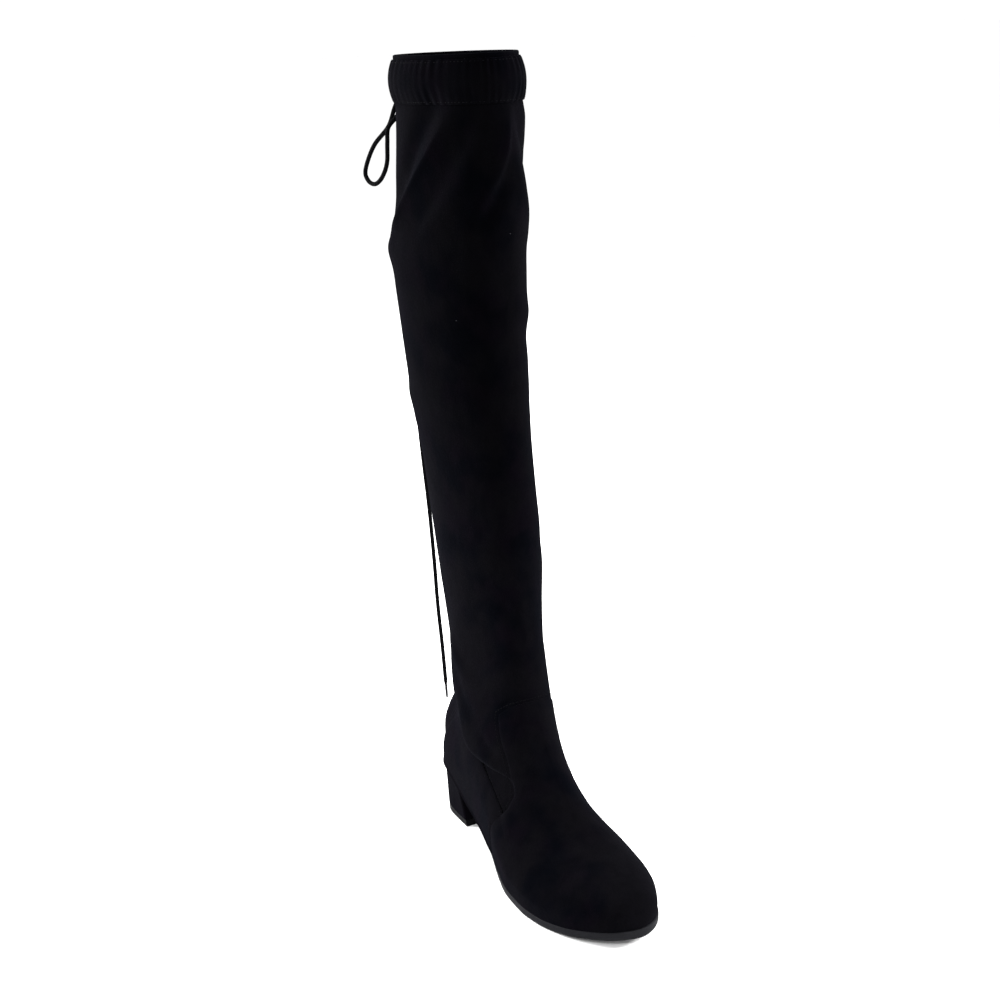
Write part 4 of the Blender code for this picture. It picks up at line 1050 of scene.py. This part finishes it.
def overlay_object(name, verts, faces, outs):
    """An overlay with its cut edge turned in towards the upper."""
    obj = mesh_object(name, verts, faces)
    bm = bmesh.new()
    bm.from_mesh(obj.data)
    middle = Vector(np.array([world(point) for point in verts[:: max(1, len(verts) // 400)]]).mean(axis=0))
    bm.normal_update()
    tree = dict(zip([tuple(round(c, 6) for c in world(point)) for point in verts], outs))
    border = [edge for edge in bm.edges if edge.is_boundary]
    made = bmesh.ops.extrude_edge_only(bm, edges=border)["geom"]
    for vert in (item for item in made if isinstance(item, bmesh.types.BMVert)):
        out = tree.get(tuple(round(c, 6) for c in vert.co))
        direction = Vector((out[0], -out[1], out[2])) if out is not None else (vert.co - middle).normalized()
        vert.co -= direction * SKIRT
    bmesh.ops.recalc_face_normals(bm, faces=bm.faces)
    bm.to_mesh(obj.data)
    bm.free()
    obj.data.shade_smooth()
    obj.data.set_sharp_from_angle(angle=math.radians(50))
    return obj


def table_curve(rows, at):
    """The second column of a table, on the smooth curve through its rows, at places of the first."""
    columns = np.array(rows, float).T
    return smooth(columns[0], columns[1], at)


def seam_key(turn):
    """Key of the seam between vamp and counter at a turn round the boot."""
    lateral = table_curve(SEAM_LOW_LATERAL, np.minimum(turn, TAB_START))
    medial = table_curve(SEAM_LOW_MEDIAL, np.maximum(turn, TAB_END))
    across = np.clip((turn - TAB_START) / (TAB_END - TAB_START), 0, 1)
    return lateral + (medial - lateral) * across


def along_curve(rows, shares):
    """Points at shares of the way along a curve through a table's rows."""
    dense = curve_through(rows, SEAM_STEPS)
    return at_lengths(dense, np.asarray(shares) * step_lengths(dense).sum())


def tab_grid(shares_up, shares_across):
    """Keys and turns of the vamp's tab, filled in between its four edges."""
    bottom_turn = TAB_START + shares_across * (TAB_END - TAB_START)
    bottom = np.stack((seam_key(bottom_turn), bottom_turn), -1)
    top = along_curve(TAB_TOP_PATH, shares_across)
    left = along_curve(TAB_LEFT, shares_up)
    right = along_curve(TAB_RIGHT, shares_up)
    u = shares_up[:, None, None]
    v = shares_across[None, :, None]
    corners = (bottom[0] * (1 - u) * (1 - v) + bottom[-1] * (1 - u) * v
               + top[0] * u * (1 - v) + top[-1] * u * v)
    return (bottom[None] * (1 - u) + top[None] * u + left[:, None] * (1 - v) + right[:, None] * v - corners)


SEAM_MARGIN = 0.02        # turns left out of the seam's row of stitches at the sole


def seam_path(count=90):
    """The vamp's whole seam in keys and turns: lateral side, round the tab, medial side."""
    low = np.linspace(SEAM_MARGIN, TAB_START, count)
    high = np.linspace(TAB_END, 1 - SEAM_MARGIN, count)
    shares = np.linspace(0, 1, count)
    left = along_curve(TAB_LEFT, shares)
    top = along_curve(TAB_TOP_PATH, shares)
    right = along_curve(TAB_RIGHT, shares[::-1])
    return np.vstack((np.stack((seam_key(low), low), -1)[:-1], left[:-1], top[:-1], right[:-1],
                      np.stack((seam_key(high), high), -1)))


def vamp_surface(keys, turns):
    """The surface that the vamp is stitched to, with its flex creases."""
    points, out = shaft_surface(keys, turns)
    return points + out * crease_swell(points, VAMP_CREASES)[..., None], out


VAMP_SHARES = ((0.0, 0.10, 26), (0.10, 0.92, 104), (0.92, 0.985, 16), (0.985, 1.0, 6))
VAMP_TURNS = ((0.0, 0.31, 64), (0.31, TAB_START, 6), (TAB_START, 0.342, 6), (0.342, 0.682, 66),
              (0.682, TAB_END, 6), (TAB_END, 0.714, 6), (0.714, 1.0, 46))
TAB_SHARES = ((0.0, 0.03, 4), (0.03, 0.94, 70), (0.94, 1.0, 9))


def build_vamp(look):
    """Vamp over toe and instep with its tab, stitched down along its seam."""
    shares = spread(*VAMP_SHARES)
    turns = spread(*VAMP_TURNS)
    body_turns = np.broadcast_to(turns, (len(shares), len(turns)))
    body_keys = shares[:, None] * seam_key(turns)[None]
    inside = np.where((turns > TAB_START - 1e-6) & (turns < TAB_END + 1e-6))[0]
    across = (turns[inside] - TAB_START) / (TAB_END - TAB_START)
    tab = tab_grid(spread(*TAB_SHARES), across)[1:]
    keys = np.concatenate((body_keys.ravel(), tab[..., 0].ravel()))
    rounds = np.concatenate((body_turns.ravel(), tab[..., 1].ravel()))
    points, out = vamp_surface(keys, rounds)
    edge_keys, edge_turns = seam_path().T
    edge, _ = vamp_surface(edge_keys, edge_turns)
    points = points + out * overlay_lift(points, edge)[:, None]
    faces = grid_faces(len(shares), len(turns))
    count = len(body_keys.ravel())
    faces += grid_faces(len(tab), len(inside), count)
    last = (len(shares) - 1) * len(turns)
    for j in range(len(inside) - 1):
        faces.append((last + inside[j], last + inside[j + 1], count + j + 1, count + j))
    obj = overlay_object("vamp_suede_panel", points, faces, out)
    return show(obj, look, "vamp_suede", "vamp")


COUNTER_END = 1.124       # key where the counter's top meets the middle of the back
SEAM_BLEND = 8            # how soon the counter's rows leave the line of the vamp's seam
COUNTER_SHARES = ((0.0, 0.02, 5), (0.02, 0.75, 92), (0.75, 0.98, 40), (0.98, 1.0, 5))
COUNTER_RISES = ((0.0, 0.05, 9), (0.05, 0.93, 42), (0.93, 0.985, 6), (0.985, 1.0, 4))
COUNTER_HALVES = ((False, COUNTER_TOP_LATERAL), (True, COUNTER_TOP_MEDIAL))
BEAD = 0.0007             # how far the counter's lower edge stands out over the heel's cover
BEAD_WIDTH = 0.0018


def counter_half(top_rows, medial, shares, rises):
    """Keys and turns of half of the counter, from the vamp's seam to the middle of the back."""
    start = SEAM_LOW_MEDIAL[-1][1] if medial else SEAM_LOW_LATERAL[0][1]
    keys = start + shares[:, None] * (COUNTER_END - start) + 0 * rises[None]
    turns = table_curve(top_rows, keys) * rises[None]
    seam = seam_key(1 - turns if medial else turns) - SEAM_GAP
    keys = keys + (seam - start) * (1 - shares[:, None]) ** SEAM_BLEND
    return keys, (1 - turns if medial else turns)


def edge_bead(points):
    """Lift of the bead along the feather line, on both sides and round the back."""
    keys = np.linspace(0.50, 1.0, 120)
    lateral, _ = formed_points(keys, np.zeros(len(keys)))
    medial, _ = formed_points(keys[::-1], np.ones(len(keys)))
    distance, _ = polyline_distance(points, np.vstack((lateral, medial)))
    return BEAD * hill(distance / BEAD_WIDTH)


def build_counter(look):
    """Stiff heel counter, in one piece round the back."""
    shares = spread(*COUNTER_SHARES)
    rises = spread(*COUNTER_RISES)
    all_points, all_out, faces, edge = [], [], [], []
    for medial, rows in COUNTER_HALVES:
        points, out = creased_points(*counter_half(rows, medial, shares, rises))
        edge.append(np.vstack((points[0], points[:, -1])))
        faces += grid_faces(len(shares), len(rises), len(all_points) * len(shares) * len(rises))
        all_points.append(points.reshape(-1, 3))
        all_out.append(out.reshape(-1, 3))
    points = np.vstack(all_points)
    out = np.vstack(all_out)
    lift = np.minimum(overlay_lift(points, edge[0]), overlay_lift(points, edge[1]))
    points = points + out * (lift + edge_bead(points))[:, None]
    obj = overlay_object("counter_suede_panel", points, faces, out)
    return show(obj, look, "counter_suede", "heel_counter")


# Casing at the collar

CASING_EDGE = 0.0008
CASING_TOP = 2 - CASING_DROP / SPAN       # keys of the band's upper and lower edge
CASING_BOTTOM = CASING_TOP - CASING_HEIGHT / SPAN
CASING_PLEATS = 46        # small gathers round the collar
PLEAT_DEPTH = 0.00045
MOUTH = 0.5 * CASING_MOUTH / COLLAR_LENGTH      # turn where the casing starts, from the middle of the back
MOUTH_MARGIN = 0.008      # turns beside the mouth that have finer rows and no stitches
MOUTH_ROUND = 0.006       # turns over which the band's ends are rounded


def casing_rise(shares):
    """How far the band stands out over the shaft, at shares of its height."""
    return CASING_EDGE + (GAP + OVERLAY_LIFT - CASING_EDGE + CASING_SWELL) * np.sin(math.pi * shares) ** 0.8


def gathers(turns):
    """Uneven small waves round the collar, between -1 and 1."""
    waves = np.sin(2 * math.pi * CASING_PLEATS * turns + 1.7 * np.sin(9 * math.pi * turns))
    return waves * (0.6 + 0.4 * np.sin(14 * math.pi * turns + 0.8))


def build_casing(look):
    """Hem round the collar with the drawcord in it, softly gathered and open at the back."""
    shares = np.linspace(0, 1, 27)
    turns = spread((MOUTH, MOUTH + MOUTH_MARGIN, 6), (MOUTH + MOUTH_MARGIN, 1 - MOUTH - MOUTH_MARGIN, 300),
                   (1 - MOUTH - MOUTH_MARGIN, 1 - MOUTH, 6))
    keys = CASING_BOTTOM + (CASING_TOP - CASING_BOTTOM) * shares
    points, out = shaft_surface(*np.meshgrid(keys, turns, indexing="ij"))
    edges = np.minimum(shares, 1 - shares) * 2
    lift = casing_rise(shares)[:, None] + PLEAT_DEPTH * gathers(turns)[None] * (1 - 0.75 * edges[:, None])
    ends = np.clip(np.minimum(turns - MOUTH, 1 - MOUTH - turns) / MOUTH_ROUND, 0, 1)
    ends = np.sqrt(1 - (1 - ends) ** 2)
    lift = CASING_EDGE * 0.5 + (lift - CASING_EDGE * 0.5) * (0.45 + 0.55 * ends[None])
    points = points + out * lift[..., None]
    obj = overlay_object("casing_suede_band", points.reshape(-1, 3),
                         grid_faces(len(shares), len(turns)), out.reshape(-1, 3))
    return show(obj, look, "casing_suede", "drawcord_casing")


# Stitches

STITCH_LENGTH = 0.0016
STITCH_STEP = 0.0025
STITCH_WIDTH = 0.00042
STITCH_SUNK = 0.00008
STITCH_SIDES = 6
STITCH_OVER = 0.00035     # how high a row lies over the cut edge's own lift
# A stitch's rings: share of its length, share of its width, and rise in half widths
STITCH_SHAPE = ((-0.5, 0.35, -0.6), (-0.38, 0.8, 0.1), (0.0, 1.0, 0.5), (0.38, 0.8, 0.1), (0.5, 0.35, -0.6))
CASING_ROWS = (0.055, 0.945)      # shares of the casing's height


def join_rings(bm, rings):
    """Closes a row of rings into a capped tube."""
    for first, second in zip(rings, rings[1:]):
        for k in range(len(first)):
            following = (k + 1) % len(first)
            bm.faces.new((first[k], first[following], second[following], second[k]))
    bm.faces.new(rings[0])
    bm.faces.new(rings[-1])


def stitch_row(bm, points, out):
    """Adds a row of small sewn stitches along a path of surface points."""
    length = step_lengths(points).sum()
    path = np.hstack((points, out))
    angles = np.arange(STITCH_SIDES) / STITCH_SIDES * 2 * math.pi
    for start in np.arange(STITCH_STEP / 2, length - STITCH_LENGTH, STITCH_STEP):
        rings = []
        for along, size, rise in STITCH_SHAPE:
            at = start + (along + 0.5) * STITCH_LENGTH
            here, ahead = at_lengths(path, (at, at + STITCH_WIDTH))
            normal = here[3:]
            side = unit(np.cross(ahead[:3] - here[:3], normal))
            centre = here[:3] + normal * (rise * STITCH_WIDTH / 2 - STITCH_SUNK)
            ring = centre + size * STITCH_WIDTH / 2 * (np.cos(angles)[:, None] * side
                                                       + np.sin(angles)[:, None] * normal)
            rings.append([bm.verts.new(world(point)) for point in ring])
        join_rings(bm, rings)


def stitch_object(name, rows, look, slot):
    """A piece with rows of stitches, each a path of points and directions out."""
    bm = bmesh.new()
    for points, out in rows:
        stitch_row(bm, points, out)
    return show(linked_object(name, bm), look, slot)


SEAM_INSET = 0.0022       # stitches inside the vamp's and counter's cut edge


def inset_path(points, out, inset):
    """A path moved sideways over the surface."""
    return points + unit(np.cross(np.gradient(points, axis=0), out)) * inset


def build_stitches(look):
    """Stitches along the vamp's seam, the counter's top edge and the casing's two edges."""
    keys, turns = seam_path().T
    points, out = vamp_surface(keys, turns)
    points = inset_path(points, out, SEAM_INSET) + out * (EDGE_LIFT + STITCH_OVER)
    stitch_object("vamp_stitches", [(points, out)], look, "vamp_suede")
    rows = []
    for medial, top_rows in COUNTER_HALVES:
        keys, turns = counter_half(top_rows, medial, np.linspace(0.0, 1.0, 160), np.array([1.0]))
        path, out = creased_points(keys[:, 0], turns[:, 0])
        inset = SEAM_INSET if medial else -SEAM_INSET
        rows.append((inset_path(path, out, inset) + out * (EDGE_LIFT + STITCH_OVER), out))
    stitch_object("counter_stitches", rows, look, "counter_suede")
    rows = []
    turns = np.linspace(MOUTH + MOUTH_MARGIN, 1 - MOUTH - MOUTH_MARGIN, 400)
    for share in CASING_ROWS:
        key = CASING_BOTTOM + (CASING_TOP - CASING_BOTTOM) * share
        path, out = shaft_surface(np.full(len(turns), key), turns)
        rows.append((path + out * casing_rise(share), out))
    stitch_object("casing_stitches", rows, look, "casing_suede")


# Sole and heel

SOLE_STATIONS = 300
TREAD_STEP = 0.0062
TREAD_DEPTH = 0.0006
TREAD_START = 0.118       # where the tread begins, forward of the heel
TREAD_MARGIN = 0.0065
LIP_COLUMNS = ("forward", "lip")
LIP_ROWS = ((0.0, 0.25), (0.30, 0.25), (0.45, 0.45), (0.58, 0.90), (0.66, 1.00), (1.0, 1.00))
LIP = named_columns(LIP_COLUMNS, LIP_ROWS)
# The sole's rounded side: share of its thickness from the top down, and share of the inset under it
SOLE_SIDE = ((0.00, 0.30), (0.02, 0.16), (0.05, 0.05), (0.12, 0.00), (0.45, 0.00), (0.60, 0.03),
             (0.74, 0.13), (0.85, 0.33), (0.94, 0.62), (1.00, 1.00))
SOLE_INSET = 0.30         # of the thickness, from the side to the flat underside
SOLE_ACROSS = 31          # places over the underside
BREAST_FADE = 0.010       # how fast the slant of the heel's front leaves the sole's back end


def stacked_rings(name, rings, sharp):
    """A solid from rings of points, closed at both ends."""
    count = len(rings[0])
    total = count * len(rings)
    faces = grid_faces(len(rings), count, 0, True)
    faces += [tuple(range(count)), tuple(range(total - count, total))]
    return mesh_object(name, np.vstack(rings), faces, sharp)


def outline(forward, margin):
    """Lateral and medial edge of the feather line at lengths forward, moved out by a margin."""
    key = station(forward / SOLE_LENGTH)
    lateral, medial, middle = [smooth(SECTIONS[0], column, key) for column in SECTIONS[FEATHER_COLUMNS]]
    lateral = lateral + middle
    medial = medial - middle
    slope = np.minimum(1.0, np.sqrt(np.maximum(lateral + medial, 0.0) / (0.25 * BALL_WIDTH)))
    return middle - lateral - margin * slope, middle + medial + margin * slope


def sole_ring(forward, left, right, top, low):
    """Medial and up places round the sole's section at a length forward, with the tread's groove."""
    thick = top - low
    inset = min(SOLE_INSET * thick, 0.45 * (right - left))
    down, drawn = np.array(SOLE_SIDE).T
    side = np.stack((left + drawn * inset, top - down * thick), -1)
    other = np.stack((right - drawn * inset, top - down * thick), -1)[::-1]
    across = left + inset + (right - left - 2 * inset) * np.linspace(0.0, 1.0, SOLE_ACROSS)[1:-1]
    margin = np.minimum(across - left, right - across) - inset
    groove = (0.5 + 0.5 * math.cos(2 * math.pi * forward / TREAD_STEP)) ** 3 * (forward > TREAD_START)
    depth = TREAD_DEPTH * groove * np.minimum(margin / TREAD_MARGIN, 1) ** 2
    return np.vstack((side, np.stack((across, low + depth), -1), other))


def build_outsole(look):
    """Thin rubber sole with a rounded edge and a fine tread under the forefoot."""
    start = math.acos(1 - 2 * (HEEL_SEAT_DEPTH + 2 * GAP) / SOLE_LENGTH)
    angles = np.linspace(start, math.pi - 0.012, SOLE_STATIONS + 1)
    forward = SOLE_LENGTH * (1 - np.cos(angles)) / 2
    left, right = outline(forward, SOLE_LIP * smooth(LIP["forward"], LIP["lip"], forward / SOLE_LENGTH))
    ahead = forward + np.clip((forward / SOLE_LENGTH - 0.8) / 0.2, 0, 1) ** 2 * SOLE_LIP
    top = feather_height(forward) - GAP
    slant = np.exp(-((angles - start) / BREAST_FADE) ** 2) * HEEL_BREAST_SLANT
    rows = []
    for i, values in enumerate(zip(forward, left, right, top, under_height(forward))):
        medial, up = sole_ring(*values).T
        rows.append(np.stack((medial, ahead[i] + slant[i] * (top[i] - up), up), -1))
    return show(stacked_rings("outsole_rubber", rows, 55), look, "sole_rubber", "outsole")


HEEL_CORNER = 0.0013      # rounding of the heel's front corners
HEEL_ARRIS = 0.0005
ARRIS_LEVEL = 0.025       # share of the heel's height that the lower arris takes
GROOVE_LEVEL = 0.035
SEAT_GROOVE = 0.0008      # how far the cover draws in where it meets the counter


def heel_ring(blend):
    """Forward and medial places round the heel at a level; blend runs floor 0 to seat 1."""
    shares = 1 - np.cos(np.linspace(0, math.pi / 2, 60))
    back = HEEL_BACK_SLANT * (1 - blend)
    depth = HEEL_DEPTH + (HEEL_SEAT_DEPTH - HEEL_DEPTH) * blend
    forward = back + (depth - back) * shares
    left, right = outline(HEEL_SEAT_DEPTH * shares, SOLE_LIP * 0.25)
    short = 1 - np.minimum(shares / HEEL_ROUND, 1.0)
    half = HEEL_WIDTH / 2 * np.sqrt(1 - short * short)
    left = left * blend - half * (1 - blend)
    right = right * blend + half * (1 - blend)
    ahead = np.clip((forward - (depth - HEEL_CORNER)) / HEEL_CORNER, 0, 1)
    corner = HEEL_CORNER * (1 - np.sqrt(1 - ahead ** 2)) * 0.8
    side = np.stack((left + corner, forward), -1)
    other = np.stack((right - corner, forward), -1)[::-1]
    across = np.linspace(0, 1, 14)[1:-1, None]
    front = side[-1] + (other[0] - side[-1]) * across
    return np.vstack((side, front, other[:-1]))


def build_heel(look):
    """Block heel covered in suede, with soft arrises; its top follows the seat."""
    base = TOP_LIFT + GAP
    rows = []
    levels = np.concatenate(((0.0, 0.004, 0.012, ARRIS_LEVEL), np.linspace(0.05, 0.93, 38),
                             np.linspace(0.945, 1.0, 8)))
    for level in levels:
        blend = float(smooth((0.0, 0.42, 1.0), (base / SEAT_HEIGHT, 0.45, 1.0), level))
        ring = heel_ring(blend)
        drawn = (HEEL_ARRIS * max(0.0, 1 - level / ARRIS_LEVEL) ** 2
                 + SEAT_GROOVE * hill((1 - level) / GROOVE_LEVEL))
        ring = ring + unit(ring.mean(axis=0) - ring) * drawn
        top = feather_height(np.clip(ring[:, 1], 0, HEEL_SEAT_DEPTH)) - 1.5 * GAP
        rows.append(np.stack((ring[:, 0], ring[:, 1], base + (top - base) * level), -1))
    return show(stacked_rings("heel_cover_suede", rows, 60), look, "heel_cover_suede", "heel_block")


def soften(obj, width):
    """Rounds the edges of a solid that stays."""
    bevel = obj.modifiers.new("soft_edges", "BEVEL")
    bevel.width = width
    bevel.segments = 2
    bevel.limit_method = "ANGLE"
    bevel.angle_limit = math.radians(40)


SOLE_COLOUR = (0.0080, 0.0080, 0.0094)
TOP_LIFT_COLOUR = (0.0030, 0.0030, 0.0036)
LINING_COLOURS = ((0.004, 0.004, 0.0044), (0.009, 0.0085, 0.009))
LINING_THREAD = 0.0005
INSOLE_COLOURS = ((0.005, 0.005, 0.005), (0.012, 0.011, 0.011))
INSOLE_THREAD = 0.0006


def build_boot():
    """All pieces of the boot, with their materials."""
    upper_look = suede("black_suede")
    build_upper(upper_look)
    build_lining(woven("lining_cloth", *LINING_COLOURS, LINING_THREAD))
    build_vamp(suede("vamp_suede", 1.05))
    build_counter(suede("counter_suede", 1.05))
    build_casing(suede("casing_suede"))
    build_stitches(thread_look("sewing_thread"))
    build_outsole(rubber("sole_rubber", SOLE_COLOUR, 0.45))
    build_heel(suede("heel_cover_suede", 1.0, 0.7))
    soften(node_look("heel_top_lift", rubber("top_lift_rubber", TOP_LIFT_COLOUR, 0.5)), 0.0005)
    soften(node_look("insole", woven("insole_cloth", *INSOLE_COLOURS, INSOLE_THREAD)), 0.0003)


build_camera()
build_drawcord(braid("cord_fabric"), dark_metal("aglet_metal"))
build_boot()
build_studio()
